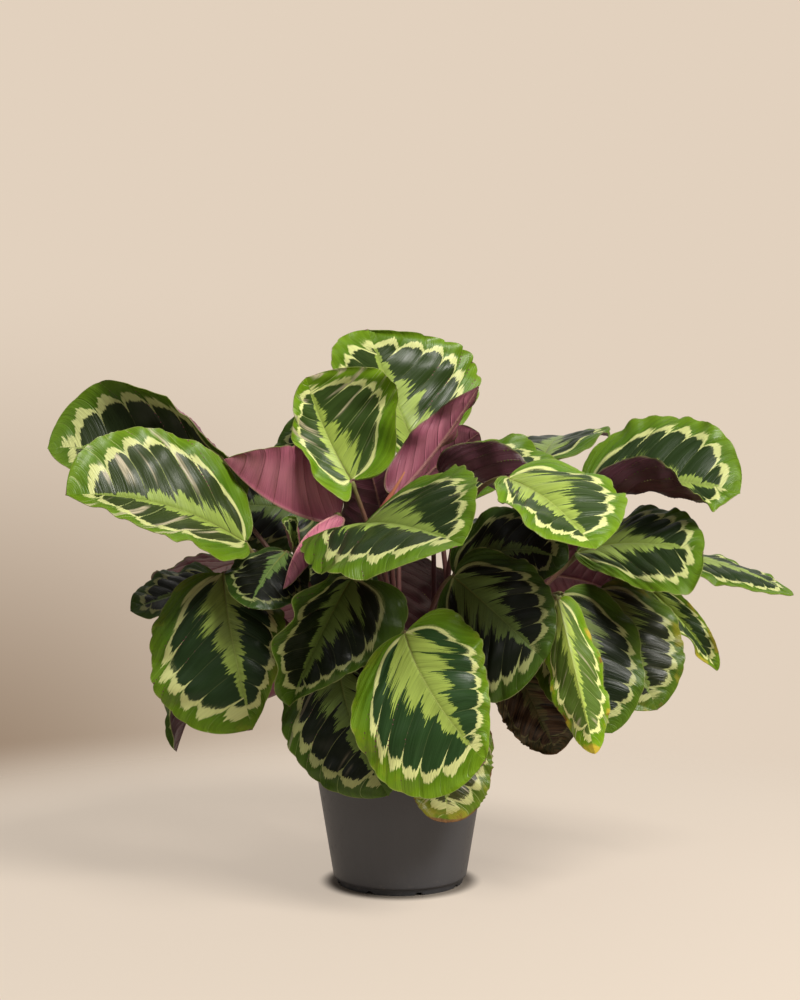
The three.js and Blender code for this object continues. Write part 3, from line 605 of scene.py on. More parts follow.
def bladeFields(piece, leaf, look, u, v):
    # what the materials read: where a point lies among the veins and in the outline, and the look
    shape, full = halfWidth(leaf, u, v)
    half = full * shape + 2
    q, phase, _ = veins(leaf, u, v)
    y = (2 * u - 1) * np.where(u < 0.5, 0.8, 1)
    ring = np.sqrt(y * y + v * v * (1 - y * y))
    a = np.abs(v)
    places = {"vein": (phase, ring, q), "blade": (u, a, a * shape), "side": (v > 0, a * half, half)}
    whole = {"look": (leaf["seed"], look["tone"], look["young"]),
             "wear": (look["dry"], look["yellow"], look["pink"]),
             "brush": (look["feather"], look["band"], look["cool"])}
    for name, numbers in places.items():
        field = np.stack(numbers, -1).astype(float).reshape(-1, 3)
        putField(piece, name, np.concatenate([field, field]))
    for name, numbers in whole.items():
        putField(piece, name, np.tile(np.array(numbers, float), (2 * u.size, 1)))
    putField(piece, "wilt", np.full(2 * u.size, float(look["wilt"])))
    sheet = piece.data.uv_layers.new(name="leaf")
    corner = np.zeros(len(piece.data.loops), np.int32)
    piece.data.loops.foreach_get("vertex_index", corner)
    flat = np.stack([u, (v + 1) / 2], -1).reshape(-1, 2)
    sheet.data.foreach_set("uv", flat[corner % len(flat)].astype(np.float32).ravel())


def bladePiece(name, leaf, look, skins):
    # a fine grid of the blade's surface, thickened both ways along its normals, with the midrib's
    # groove above and its rib below as bell curves of the distance from it
    columns = blade["columns"] if leaf["width"] > blade["slimBelow"] else blade["columns"] * 2 // 3 | 1
    u = (1 - np.cos(np.pi * np.linspace(0, 1, blade["rows"]))) / 2
    s = np.linspace(-1, 1, columns)
    u, v = np.meshgrid(u, np.sign(s) * np.abs(s) ** 1.3, indexing="ij")
    middle = bladeSurface(leaf, u, v)
    normal = unit(np.cross(np.gradient(middle, axis=1), np.gradient(middle, axis=0)))
    shape, full = halfWidth(leaf, u, v)
    x = v * (full * shape + 2)
    thick = (blade["thickness"] + (blade["baseThickness"] - blade["thickness"]) * (1 - u) ** 30)[..., None]
    grade = (smooth(u, 0, 0.04) * (1 - u))[..., None]
    groove = blade["groove"] * grade * np.exp(-(x / blade["grooveWidth"]) ** 2)[..., None]
    rib = (blade["rib"] * (1 - u) ** 0.8)[..., None] * np.exp(-(x / blade["ribWidth"]) ** 2)[..., None]
    above = middle + normal * (thick / 2 - groove)
    below = middle - normal * (thick / 2 + rib)
    quads, wears = shellFaces(blade["rows"], columns)
    points = np.concatenate([above.reshape(-1, 3), below.reshape(-1, 3)])
    piece = putMesh(name, points, quads, skins=skins, parts=wears, sharp=50)
    bladeFields(piece, leaf, look, u, v)
    return piece


# The upper side's drawing, in sections from one side vein to the next.
# coarse, fine, needle: streaks to a section. band: where the cream band runs, 0 at the blade's
# middle and 1 at its margin. bandHalf: half its width on a vein, and what it gains between.
# arch: how far it bows out between veins. baseShift: how much further out it starts.
# thorn, barb: how far it runs inward before a vein and after it. feather: its reach from the
# midrib, and what a leaf's seed adds. tongue: its length after a vein, and what it gains up to
# the next. line: half width of a side vein. edge: softness of the inner edges and the outer one.
drawing = dict(
    coarse=4.5, fine=12, needle=30, band=0.70, bandHalf=(0.020, 0.030), arch=0.10, baseShift=0.08,
    thorn=0.09, barb=0.05, feather=(0.42, 0.12), tongue=(0.75, 0.6), line=0.014, edge=(0.007, 0.009),
    roughness=0.36, relief=0.0007)

# screen colours of the upper side; a pair is an old leaf's colour, which is also painted shade on leaves
# deep in the plant, and a young one's
upperTones = dict(
    darkOldAndShaded=rgb(13, 17, 8), darkWarm=rgb(92, 118, 44), darkCool=rgb(44, 112, 64),
    feather=(rgb(82, 106, 54), rgb(170, 190, 84)), green=(rgb(33, 52, 16), rgb(90, 132, 18)),
    edge=(rgb(48, 74, 20), rgb(138, 172, 26)), cream=(rgb(132, 140, 86), rgb(234, 238, 158)),
    stripe=rgb(214, 200, 168), vein=rgb(196, 208, 132), ribLow=rgb(108, 112, 52),
    ribHigh=(rgb(96, 116, 60), rgb(176, 190, 96)), rimLine=rgb(150, 150, 92))

# worn parts; a pair is the darker and the lighter streak
wornTones = dict(
    patch=rgb(206, 176, 58), speck=rgb(128, 84, 44), wilted=(rgb(26, 18, 13), rgb(104, 78, 54)),
    dried=(rgb(84, 54, 32), rgb(140, 104, 62)), driedUnder=rgb(96, 66, 44))

# the underside; a pair is the wine red of an old leaf and the pink of a young one, the pink partly painted
# light on undersides turned toward the lamps
underTones = dict(
    wine=(rgb(38, 15, 19), rgb(186, 104, 126)), paintedSheen=rgb(226, 150, 164),
    vein=(rgb(84, 42, 42), rgb(160, 88, 104)), rib=(rgb(120, 84, 68), rgb(214, 156, 152)),
    rimLine=rgb(120, 124, 74))


def bladeSpot(paint):
    # what a leaf material knows of a point: bladeFields' values by name, part (how far across its
    # section, 0 to 1) and middle (how far from the nearer vein)
    names = {"vein": ("phase", "ring", "q"), "blade": ("u", "a", "reach"), "side": ("right", "x", "half"),
             "look": ("seed", "tone", "young"), "wear": ("dry", "yellow", "pink"),
             "brush": ("feather", "band", "cool")}
    spot = SimpleNamespace(wilt=paint.field("wilt"))
    for field, parts in names.items():
        vars(spot).update(zip(parts, paint.parts(paint.field(field, 1))))
    spot.part = spot.phase.math("FRACT")
    spot.middle = spot.part.math("PINGPONG", 0.5)
    return spot


def streaks(paint, spot, count, stretch, seed, detail=1.0):
    # noise stretched along the side veins: so many streaks to a section
    lane = spot.seed * 13 + spot.right * 5 + seed
    return paint.noise(paint.vector(spot.phase * count, spot.a * stretch, lane), detail=detail)


def bandEdges(spot):
    # 1 beyond the cream band's inner edge and beyond its outer one: an arc in each section, with
    # a thorn running inward along each vein; plain near the base
    arc = (spot.part ** 0.85 * np.pi).math("SINE").atLeast(0.0) ** 0.6 * spot.lively
    ragged = (spot.coarse * 0.08 + spot.fine * 0.07 + spot.needle * 0.05) * (spot.lively * 0.8 + 0.2)
    centre = arc * drawing["arch"] + (1 - spot.u.over(0.16, 0.14)) * drawing["baseShift"]
    centre = centre + drawing["band"] + (spot.chance - 0.5) * 0.05
    onVein, gained = drawing["bandHalf"]
    half = (spot.middle.over(0.2, 0.2) * spot.lively * gained + onVein) * spot.band
    far = ((spot.part - 0.8) / 0.2).atLeast(0.0) ** 2 * spot.lively * drawing["thorn"]
    near = (1 - spot.part / 0.06).atLeast(0.0) ** 2 * spot.lively * drawing["barb"]
    inner = centre - half - far - near + ragged
    outer = centre + half + ragged * 1.15 - near * 0.2
    return spot.ring.over(inner, drawing["edge"][0]), spot.ring.over(outer, drawing["edge"][1])


def featherShare(spot):
    # 1 on the feather: a brush tongue in each section, its ragged end cut back beside the next
    # vein; also a point's share of the way to that end
    cut = (1 - spot.middle / 0.2).atLeast(0.0) ** 2 * 0.65
    short, gained = drawing["tongue"]
    tongue = spot.part * gained + short - cut + (spot.chance - 0.5) * 0.4
    fade = (0.95 - spot.q).atLeast(0.0) ** 1.3 * spot.q.over(0.0, 0.16)
    longest, varied = drawing["feather"]
    fade = fade * (spot.seed * varied + longest) * spot.feather
    end = fade * (tongue + spot.coarse * 0.6 + spot.fine * 1.3 + spot.needle * 0.9)
    return 1 - spot.reach.over(end, drawing["edge"][0]), spot.reach / (end + 0.02)


def zoneTones(paint, spot, towardEnd):
    # streaked colours of the dark zone, feather, green margin and cream band at the leaf's tone, whose low
    # end is also painted shade
    lush = paint.mix(spot.cool, upperTones["darkWarm"], upperTones["darkCool"])
    # toward tone 0 the dark zone goes nearly black: an old leaf's colour and painted shade on leaves deep
    # in the plant
    dark = paint.mix((spot.tone / 1.5) ** 1.6, upperTones["darkOldAndShaded"], lush)
    dark = paint.dim(dark, spot.coarse * 0.5 + spot.fine * 0.35 + 1.0)
    feather = paint.mix(spot.tone, *upperTones["feather"])
    feather = paint.dim(feather, towardEnd.atMost(1.0) * 0.3 + spot.fine * 0.6 + spot.coarse * 0.4 + 0.82)
    outward = ((spot.ring - 0.75) * 4).atLeast(0.0).atMost(1.0)
    green = paint.mix(spot.tone, *upperTones["green"])
    green = paint.mix(outward * 0.7, green, paint.mix(spot.tone, *upperTones["edge"]))
    green = paint.dim(green, spot.fine * 0.35 + spot.needle * 0.25 + spot.coarse * 0.5 + 1.0)
    cream = paint.mix(spot.tone, *upperTones["cream"])
    return dark, feather, green, paint.dim(cream, spot.needle * 0.3 + spot.fine * 0.3 + 1.0)


def sideVeins(paint, spot, colour):
    # pale side veins, and between them the pale stripes of a young leaf
    stripe = streaks(paint, spot, 2.2, 0.6, 21, 2.0).over(0.13, 0.05) * spot.young
    stripe = stripe * (spot.fine.over(-0.05, 0.1) * 0.5 + 0.4) * spot.a.over(0.22, 0.12) * spot.lively
    share = spot.line * (spot.young * 0.6 + 0.08) * spot.a.over(0.15, 0.1)
    return paint.mix(share, paint.mix(stripe, colour, upperTones["stripe"]), upperTones["vein"])


def midribAndRim(paint, spot, colour):
    # a pale midrib that slims toward the tip, and a thin pale line along the margin
    rib = 1 - spot.x.over((1 - spot.u) * 0.7 + 0.2, 0.3)
    high = paint.mix(spot.tone, *upperTones["ribHigh"])
    ribTone = paint.mix(spot.u.over(0.25, 0.25), upperTones["ribLow"], high)
    colour = paint.mix(rib * (0.9 - spot.u.over(0.75, 0.15) * 0.7), colour, ribTone)
    rimLine = 1 - (spot.half - spot.x).over(0.7, 0.3)
    return paint.mix(rimLine * 0.5, colour, upperTones["rimLine"])


def driedShare(paint, spot):
    # 1 where the tip is dry, up to a ragged line, and in spots along the margin
    tip = spot.u * spot.ring + paint.noise(paint.place(), 55, 3) * 0.12
    rim = spot.ring + paint.noise(paint.place(), 48, 3) * 0.2
    return tip.over(1.13 - spot.dry * 0.18, 0.02).math("MAXIMUM", rim.over(1.08 - spot.dry * 0.09, 0.01))


def wornBlade(paint, spot, colour, dried):
    # yellow patches and brown specks near the margin, wilted streaks all over, and the dry tip
    patch = paint.noise(paint.place(), 38, 3).over(0.09, 0.05) * spot.yellow * spot.ring.over(0.86, 0.07)
    colour = paint.mix(patch * 0.85, colour, wornTones["patch"])
    speck = paint.noise(paint.place(), 90, 2).over(0.16, 0.04) * spot.yellow * spot.ring.over(0.88, 0.07)
    colour = paint.mix(speck * 0.9, colour, wornTones["speck"])
    brown = paint.mix(spot.fine * 1.6 + spot.coarse * 1.2 + 0.5, *wornTones["wilted"])
    colour = paint.mix(spot.wilt * (spot.coarse * 0.8 + 1.0), colour, brown)
    return paint.mix(dried, colour, paint.mix(spot.fine + 0.5, *wornTones["dried"]))


def leafUpper():
    # the upper side: feather on the dark zone, green margin, cream band over both, veins and wear
    paint = Paint("leafUpper", IOR=1.4, Specular_IOR_Level=0.29, Coat_Weight=0.05, Coat_Roughness=0.2)
    spot = bladeSpot(paint)
    spot.coarse = streaks(paint, spot, drawing["coarse"], 2, 0)
    spot.fine = streaks(paint, spot, drawing["fine"], 2.5, 3)
    spot.needle = streaks(paint, spot, drawing["needle"], 3, 7, 0.0)
    # a chance for each section, lively: 0 at the plain base and 1 beyond, line: 1 on a side vein
    spot.chance = paint.random(spot.phase.math("FLOOR"), spot.seed + spot.right.math("ROUND"))
    spot.lively = spot.q.over(0.0, 0.12)
    spot.line = (1 - spot.middle.over(drawing["line"], 0.012)) * spot.lively
    beyondInner, margin = bandEdges(spot)
    featherOn, towardEnd = featherShare(spot)
    dark, feather, green, cream = zoneTones(paint, spot, towardEnd)
    colour = paint.mix(featherOn * (1 - beyondInner), dark, feather)
    colour = sideVeins(paint, spot, paint.mix(margin, colour, green))
    colour = paint.mix(beyondInner * (1 - margin), colour, cream)
    dried = driedShare(paint, spot)
    colour = wornBlade(paint, spot, midribAndRim(paint, spot, colour), dried)
    paint.set("Base Color", colour)
    paint.set("Roughness", drawing["roughness"] + spot.fine * 0.25 + spot.coarse * 0.25 + dried * 0.35)
    paint.bump(spot.needle * 0.5 + spot.fine * 0.8 - spot.line * 0.5, drawing["relief"], 0.7)
    return paint.material


def leafUnder():
    # the underside: wine red to pink with a painted highlight halfway out, raised veins and a pale rib
    paint = Paint("leafUnder", IOR=1.42, Specular_IOR_Level=0.5)
    spot = bladeSpot(paint)
    coarse = streaks(paint, spot, 3, 1.5, 31)
    fine = streaks(paint, spot, 14, 2, 35)
    needle = streaks(paint, spot, 34, 3, 37, 0.0)
    line = 1 - spot.middle.over(0.03, 0.03)
    # from wine red to pink: partly the leaf's own colour, partly painted light on undersides turned toward
    # the lamps
    wine = paint.mix(spot.pink, *underTones["wine"])
    wine = paint.dim(wine, coarse * 0.8 + fine * 0.5 + needle * 0.25 + 1.1 - spot.ring * 0.25)
    # painted highlight: a lighter band halfway out on pink undersides, standing for light glancing off the
    # glossy blade
    paintedSheen = 1 - (spot.a - 0.42).math("ABSOLUTE").over(0.2, 0.2)
    wine = paint.mix(paintedSheen * spot.pink * 0.45, wine, underTones["paintedSheen"])
    colour = paint.mix(line * 0.35, wine, paint.mix(spot.pink, *underTones["vein"]))
    rib = 1 - spot.x.over((1 - spot.u) * 1.4 + 0.5, 0.5)
    colour = paint.mix(rib * 0.8, colour, paint.mix(spot.pink, *underTones["rib"]))
    rimLine = 1 - (spot.half - spot.x).over(1.4, 0.8)
    colour = paint.mix(rimLine * 0.5, colour, underTones["rimLine"])
    paint.set("Base Color", paint.mix(driedShare(paint, spot), colour, wornTones["driedUnder"]))
    paint.set("Roughness", 0.36 + fine * 0.2 + coarse * 0.2)
    paint.bump(needle * 0.4 + fine * 0.9 + line * 1.2, 0.0008, 0.7)
    return paint.material


skins = [leafUpper(), leafUnder()]
for index, (name, given) in enumerate(leaves.items()):
    look = {**usualLook, **looks.get(name, {})}
    shape = {"seed": (index * 0.37 + 0.11) % 1, "scallop": look["scallop"], "dry": look["dry"]}
    leaf = {**usualLeaf, **shape, **given, **letOut.get(name, {})}
    leaves[name] = leaf
    if leaf["rolled"]:
        continue
    piece = bladePiece("foliage_" + name, leaf, look, skins)
    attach(piece, "root")
    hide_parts("leaf_" + name)
print("stage: blades done")


soilHeight = 130  # the soil's top, which the shoots grow from

shoots = {
    "shoot_centre": dict(at=(0, 8), lean=(0, 2), radius=11, height=58),
    "shoot_front": dict(at=(4, -38), lean=(2, -8), radius=10, height=40),
    "shoot_left": dict(at=(-40, -8), lean=(-10, -4), radius=10, height=46),
    "shoot_right": dict(at=(42, -10), lean=(10, -4), radius=10, height=46),
    "shoot_back_left": dict(at=(-26, 40), lean=(-6, 9), radius=9, height=42),
    "shoot_back_right": dict(at=(28, 42), lean=(7, 9), radius=9, height=42),
}

# radius: low and high. gap: left before the blade's solid. rootedAt: how far up the sheath it starts.
# leanOn, spreadLow, climbLow: where it bends low down. joint, wing: the swell below the blade and
# the leaf sheath at the foot, as shares of the length and of the radius.
stalk = dict(
    radius=(3.1, 2.2), gap=0.7, rootedAt=0.45, leanOn=2, spreadLow=0.12, climbLow=0.62,
    longestHandle=30, arriveLength=25, sides=14, steps=56, jointLength=0.07, jointSwell=0.28,
    wingLength=0.3, wingSwell=0.75)

# sunk: how deep it stands in the soil. slim: the share of its radius lost toward the top. wraps:
# old leaf bases round it; spiral: their turns on the way up; overlap: how far each laps the last.
sheath = dict(sides=72, steps=40, sunk=12, slim=0.36, wraps=3, spiral=1.3, overlap=0.16)

# along a stalk from its sheath, below 0, to the blade at 1
stalkTones = [
    (-0.2, rgb(70, 40, 36)), (0.016, rgb(78, 34, 46)), (0.304, rgb(92, 52, 54)),
    (0.76, rgb(104, 74, 58)), (0.916, rgb(112, 108, 62)), (1.0, rgb(132, 134, 76))]


def stalkCurve(leaf):
    # starts inside the shoot's sheath, climbs away from it in a slight arch, and reaches the
    # blade's base from below and behind
    shoot = shoots[leaf["shoot"]]
    at, lean = np.array(shoot["at"], float), np.array(shoot["lean"], float)
    foot = np.append(at + lean * stalk["rootedAt"], soilHeight + shoot["height"] * stalk["rootedAt"])
    curve, up, _, _ = midrib(leaf)
    along = bezier(curve, 0.0)[1]
    base = np.array(leaf["base"], float)
    outward = unit(np.append((base - foot)[:2], 0.001))
    reach = unit(along * 0.75 + up * 0.45 + np.array([0, 0, 0.15]))
    arrive = unit(reach * stalk["arriveLength"] - leaf["neck"])
    slant = np.linalg.norm(np.cross(along, arrive))
    end = base - along * (stalk["gap"] + stalk["radius"][1] * slant)
    span = np.hypot(*(end - foot)[:2])
    rise = end[2] - foot[2]
    handle = min(stalk["longestHandle"], 0.3 * np.hypot(span, rise))
    aside = lean * stalk["leanOn"] + outward[:2] * span * stalk["spreadLow"]
    low = foot + np.append(aside, rise * stalk["climbLow"]) + leaf["stalk"]
    return [foot, low, end - reach * handle + leaf["neck"], end + along * 3]


def stalkForm(leaf, seed):
    # a slim tube that widens into a leaf sheath low down and swells into a joint below the blade
    def radius(u):
        plain = stalk["radius"][0] + (stalk["radius"][1] - stalk["radius"][0]) * u
        below, at = 1 - 1.6 * stalk["jointLength"], 1 - stalk["jointLength"]
        joint = 1 + stalk["jointSwell"] * smooth(u, below, at)
        wing = 1 + stalk["wingSwell"] * (1 - smooth(u, 0.06, stalk["wingLength"]))
        return plain * joint * wing * (1 - 0.45 * smooth(u, 0.985, 1.0))

    def ridge(u, angle):
        low = 1 - smooth(u, 0.1, stalk["wingLength"] + 0.1)
        return 1 + 0.10 * low * np.cos(3 * angle + seed) + 0.025 * np.cos(7 * angle + 5 * u + seed)

    curve = stalkCurve(leaf)
    sides, steps = stalk["sides"], stalk["steps"]
    points, quads, triangles, along = tube(curve, radius, sides, steps, ridge)
    length = np.linalg.norm(curve[3] - curve[0])
    strand = np.stack([along, ringTurns(sides, steps) + seed, along * length], -1)
    return points, quads, triangles, strand


def sheathForm(shoot, seed):
    # old leaf bases wrapped round each other: a leaning cone with spiral ridges
    (x, y), (dx, dy), height = shoot["at"], shoot["lean"], shoot["height"]
    curve = [(x, y, soilHeight - sheath["sunk"]), (x, y, soilHeight + 8),
             (x + dx * 0.2, y + dy * 0.2, soilHeight + height * 0.5), (x + dx, y + dy, soilHeight + height)]

    def radius(u):
        return shoot["radius"] * (1.0 - sheath["slim"] * u) * (1 - 0.5 * smooth(u, 0.93, 1.0))

    def ridge(u, angle):
        wrapped = (angle / (2 * np.pi) * sheath["wraps"] + sheath["spiral"] * u + seed) % 1
        return 0.90 + sheath["overlap"] * wrapped ** 1.5 - 0.05 * smooth(wrapped, 0.93, 1)

    sides, steps = sheath["sides"], sheath["steps"]
    points, quads, triangles, along = tube(curve, radius, sides, steps, ridge)
    strand = np.stack([along * 0.2 - 0.2, ringTurns(sides, steps), along * height], -1)
    return points, quads, triangles, strand


def stalkSkin():
    # wine red sheath, brownish stalk, olive joint below the blade; fine lines along it
    paint = Paint("stalkSkin", IOR=1.4)
    along, turn, length = paint.parts(paint.field("strand", 1))
    x, y = turn.math("COSINE"), turn.math("SINE")
    lines = paint.noise(paint.vector(x * 5, y * 5, length * 0.03), detail=3)
    fleck = paint.noise(paint.vector(x * 3, y * 3, length * 0.4), detail=3)
    low = stalkTones[0][0]
    stops = [((place - low) / (1 - low), colour) for place, colour in stalkTones]
    colour = paint.node("ValToRGB", {"stops": stops}, {0: (along - low) / (1 - low)})
    paint.set("Base Color", paint.dim(colour, lines * 0.7 + fleck * 0.5 + 1.0))
    paint.set("Roughness", 0.48 + fleck * 0.2)
    paint.bump(lines + fleck * 0.3, 0.0008, 0.5)
    return paint.material


stalkPaint = stalkSkin()
for order, (name, shoot) in enumerate(shoots.items()):
    forms = [sheathForm(shoot, 0.3 * order)]
    mine = [leaf for leaf in leaves.values() if leaf["shoot"] == name]
    forms += [stalkForm(leaf, 1.7 * k + order) for k, leaf in enumerate(mine)]
    points, quads, triangles, strand = joinParts(forms)
    piece = putMesh(name.replace("shoot", "stalks"), points, quads, triangles, [stalkPaint], sharp=60)
    putField(piece, "strand", strand)
    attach(piece, "root")
    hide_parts(name)

# step: how far the margin stands out where it laps over. winds: its turns from base to tip.
spear = dict(
    sides=36, steps=60, length=45, step=0.12, winds=1.2, low=rgb(150, 72, 70), high=rgb(206, 138, 96))


def rolledSkin():
    # a new leaf still rolled up: orange pink, lighter toward the tip, with fine lines along it
    paint = Paint("rolledSkin", IOR=1.4)
    along, turn, length = paint.parts(paint.field("strand", 1))
    x, y = turn.math("COSINE"), turn.math("SINE")
    lines = paint.noise(paint.vector(x * 4, y * 4, length * 0.05), detail=2)
    colour = paint.mix(along, spear["low"], spear["high"])
    paint.set("Base Color", paint.dim(colour, lines * 0.6 + 1.0))
    paint.set("Roughness", 0.42 + lines * 0.1)
    paint.bump(lines, 0.0005, 0.5)
    return paint.material


def rolledLeaf(name, leaf):
    # a slim cone with one spiral step round it, where the blade's margin laps over
    low, high = leaf["rolled"]

    def radius(u):
        return low + (high - low) * u ** 0.9

    def ridge(u, angle):
        return 1 - spear["step"] / 2 + spear["step"] * ((angle / (2 * np.pi) + spear["winds"] * u) % 1)

    sides, steps = spear["sides"], spear["steps"]
    points, quads, triangles, along = tube(midrib(leaf)[0], radius, sides, steps, ridge)
    piece = putMesh(name, points, quads, triangles, [rolledSkin()], sharp=45)
    putField(piece, "strand", np.stack([along, ringTurns(sides, steps), along * spear["length"]], -1))
    return piece


newSpear = rolledLeaf("foliage_new_spear", leaves["new_spear"])
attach(newSpear, "root")
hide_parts("leaf_new_spear")
print("stage: stalks done")

pot = dict(
    height=146, baseRadius=71, topRadius=90.5, rimRadius=95, rimDepth=17, wall=1.8, floor=7.5,
    underside=5, foot=6.5, footRing=(60.5, 66), hub=21, corner=11, sides=192,
    notches=8, notchTurn=17, notchWidth=7, notchHeight=2.9, drains=8, drainCircle=42, drainRadius=5,
    plastic=(rgb(60, 60, 64), rgb(70, 71, 75)), dust=rgb(120, 112, 104))


def roundedProfile(corners, steps=5):
    # a profile of (radius, height, rounding): each corner becomes a small arc-like curve
    corners = [np.array(c, float) for c in corners]
    line = [corners[0][:2]]
    for before, corner, after in zip(corners, corners[1:], corners[2:]):
        here, size = corner[:2], corner[2]
        into, away = before[:2] - here, after[:2] - here
        into = into * min(size / np.linalg.norm(into), 0.45)
        away = away * min(size / np.linalg.norm(away), 0.45)
        for t in np.linspace(0, 1, steps if size > 0.5 else 3):
            line.append(here + into * (1 - t) ** 2 + away * t ** 2)
    return np.array(line + [corners[-1][:2]])


def turned(profile, sides, lift=None):
    # a profile carried round the Z axis; lift changes a point's height by its radius and angle
    radius, height = profile[1:-1, 0], profile[1:-1, 1]
    angle = fullTurn(sides)
    r, z = (np.broadcast_to(a[:, None], (len(radius), sides)) for a in (radius, height))
    z = z if lift is None else lift(r, z, angle[None, :])
    points = np.stack([r * np.cos(angle), r * np.sin(angle), z], -1).reshape(-1, 3)
    ends = np.array([[0, 0, profile[0, 1]], [0, 0, profile[-1, 1]]])
    quads = gridQuads(len(radius), sides, loop=True)
    return np.concatenate([points, ends]), quads, endFans(len(radius), sides)


def potProfile():
    # from the hub's underside out to the wall, up to the stepped rim, over it and down inside
    rimZ, t, ring, hub = pot["height"] - pot["rimDepth"], pot["wall"], pot["footRing"], pot["hub"]
    base, top, rim, corner = pot["baseRadius"], pot["topRadius"], pot["rimRadius"], pot["corner"]
    return roundedProfile([
        (0, 0, 0), (hub, 0, 1), (hub + 3.5, pot["underside"], 1.2),
        (ring[0] - 2.5, pot["underside"], 1.2), (ring[0], 0, 0.8), (ring[1], 0, 0.8),
        (base - 3.8, pot["foot"], 1.0), (base - 1.0, pot["foot"] + 0.6, 2.2), (base, corner + 2, 4),
        (top, rimZ, 1.0), (rim - 1.4, rimZ + 0.6, 1.0), (rim, pot["height"] - 1.2, 0.8),
        (rim - 0.5, pot["height"], 0.6), (rim - t, pot["height"], 0.5), (rim - 1.4 - t, rimZ + t + 1, 1),
        (top - t - 0.2, rimZ - 0.5, 1), (base - t, corner + 1, 3),
        (base - t - 3.5, pot["floor"], 2), (hub + 6, pot["floor"], 1),
        (hub + 1, t + 0.4, 1), (0, t + 0.4, 0)])


def notched(r, z, angle):
    # the foot ring's underside rises to a flat notch at even angles
    turn = (angle / (2 * np.pi) * pot["notches"] - pot["notchTurn"] * pot["notches"] / 360 + 0.5) % 1 - 0.5
    away = np.abs(turn) * 2 * np.pi / pot["notches"] * r
    inside = 1 - smooth(away, pot["notchWidth"] / 2 - 0.6, pot["notchWidth"] / 2 + 0.9)
    ringed = (r > pot["footRing"][0] - 2.6) & (r < pot["baseRadius"] - 2) & (z < pot["foot"] - 1)
    return np.where(ringed, np.maximum(z, pot["notchHeight"] * inside), z)


def drainPins():
    # a round pin through the floor for each drain hole, half a step round from the X axis
    profile = np.array([[0, 1], [pot["drainRadius"], 1], [pot["drainRadius"], 12], [0, 12]], float)
    points, quads, triangles = turned(profile, 20)
    pins = []
    for angle in (np.arange(pot["drains"]) + 0.5) * 2 * np.pi / pot["drains"]:
        at = np.array([np.cos(angle), np.sin(angle), 0]) * pot["drainCircle"]
        pins.append((points + at, quads, triangles, np.zeros(len(points))))
    points, quads, triangles, _ = joinParts(pins)
    return putMesh("drainPins", points, quads, triangles)


def potForm(name, skin):
    # the turned profile with the drain holes cut through its floor
    piece = putMesh(name, *turned(potProfile(), pot["sides"], notched), [skin], sharp=50)
    pins = drainPins()
    drill = piece.modifiers.new("drains", "BOOLEAN")
    drill.operation = "DIFFERENCE"
    drill.solver = "EXACT"
    drill.object = pins
    bpy.context.view_layer.update()
    drilled = bpy.data.meshes.new_from_object(piece.evaluated_get(bpy.context.evaluated_depsgraph_get()))
    piece.modifiers.clear()
    piece.data = drilled
    bpy.data.objects.remove(pins)
    return piece


def potSkin():
    # dark grey moulded plastic: fine grain, faint upright flow marks, dust and scuffs low down
    paint = Paint("potSkin", IOR=1.47)
    place = paint.place()
    x, y, z = paint.parts(place)
    grain = paint.noise(place, 900, 2)
    cloud = paint.noise(place, 22, 3)
    marks = paint.noise(paint.vector(x * 90, y * 90, z * 4), detail=2)
    dust = paint.noise(place, 160, 4).over(0.14, 0.08)
    low = 1 - z.over(0.012, 0.014)
    colour = paint.mix(cloud + 0.5, *pot["plastic"])
    colour = paint.mix(dust * (low * 0.25 + 0.05), colour, pot["dust"])
    paint.set("Base Color", paint.dim(colour, marks * 0.10 + 1.0))
    paint.set("Roughness", 0.46 + cloud * 0.12 + grain * 0.15 + dust * 0.15)
    paint.bump(grain * 0.4 + marks * 0.25, 0.0004, 0.5)
    return paint.material


nurseryPot = potForm("nurseryPot", potSkin())
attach(nurseryPot, "root")
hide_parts("pot")
print("stage: pot done")


# gap: left between the soil and the pot's wall. edge: where the crumbled top ends. lump: how high
# the crumbs rise. chips lie within spread and are sunk by a quarter of their height.
soil = dict(
    dome=1.5, gap=0.7, edge=87, edgeDrop=4, lump=0.88, rings=46, sides=120, chips=420, spread=84,
    chipSize=(2.2, 6.5), chipShape=(1, 0.55, 0.3), whiteShare=0.12, seed=11,
    moist=(rgb(28, 20, 15), rgb(74, 56, 42)), fibre=rgb(128, 102, 76),
    bark=(rgb(44, 30, 22), rgb(104, 76, 52)), grain=(rgb(176, 170, 158), rgb(218, 214, 204)))


def lumps(x, y):
    # sums of sines at uneven angles and lengths, for crumbs and hollows
    waves = [
        (0.21, 0.13, 0.4), (-0.17, 0.29, 1.9), (0.43, -0.38, 3.1), (0.61, 0.55, 0.7), (-0.83, 0.47, 2.2)]
    return sum(np.sin(a * x + b * y + c + 1.3 * np.sin(0.11 * (x - y) + c)) / (1 + k)
               for k, (a, b, c) in enumerate(waves)) / 2


def potInner(z):
    # inner radius of the pot's wall at that height, less the gap
    rimZ = pot["height"] - pot["rimDepth"]
    share = (z - pot["corner"] - 1) / (rimZ - pot["corner"] - 1.5)
    wider = (pot["topRadius"] - 0.2 - pot["baseRadius"]) * share
    return pot["baseRadius"] - pot["wall"] + wider - soil["gap"]


def soilTop(r, x, y):
    # height of the top: a low dome with crumbs, which drops beside the wall
    dome = soil["dome"] * (1 - (r / (soil["edge"] + 1)) ** 2) - 1.2
    drop = soil["edgeDrop"] * smooth(r, soil["edge"] - 7, soil["edge"])
    return soilHeight + dome + soil["lump"] * lumps(x, y) - drop


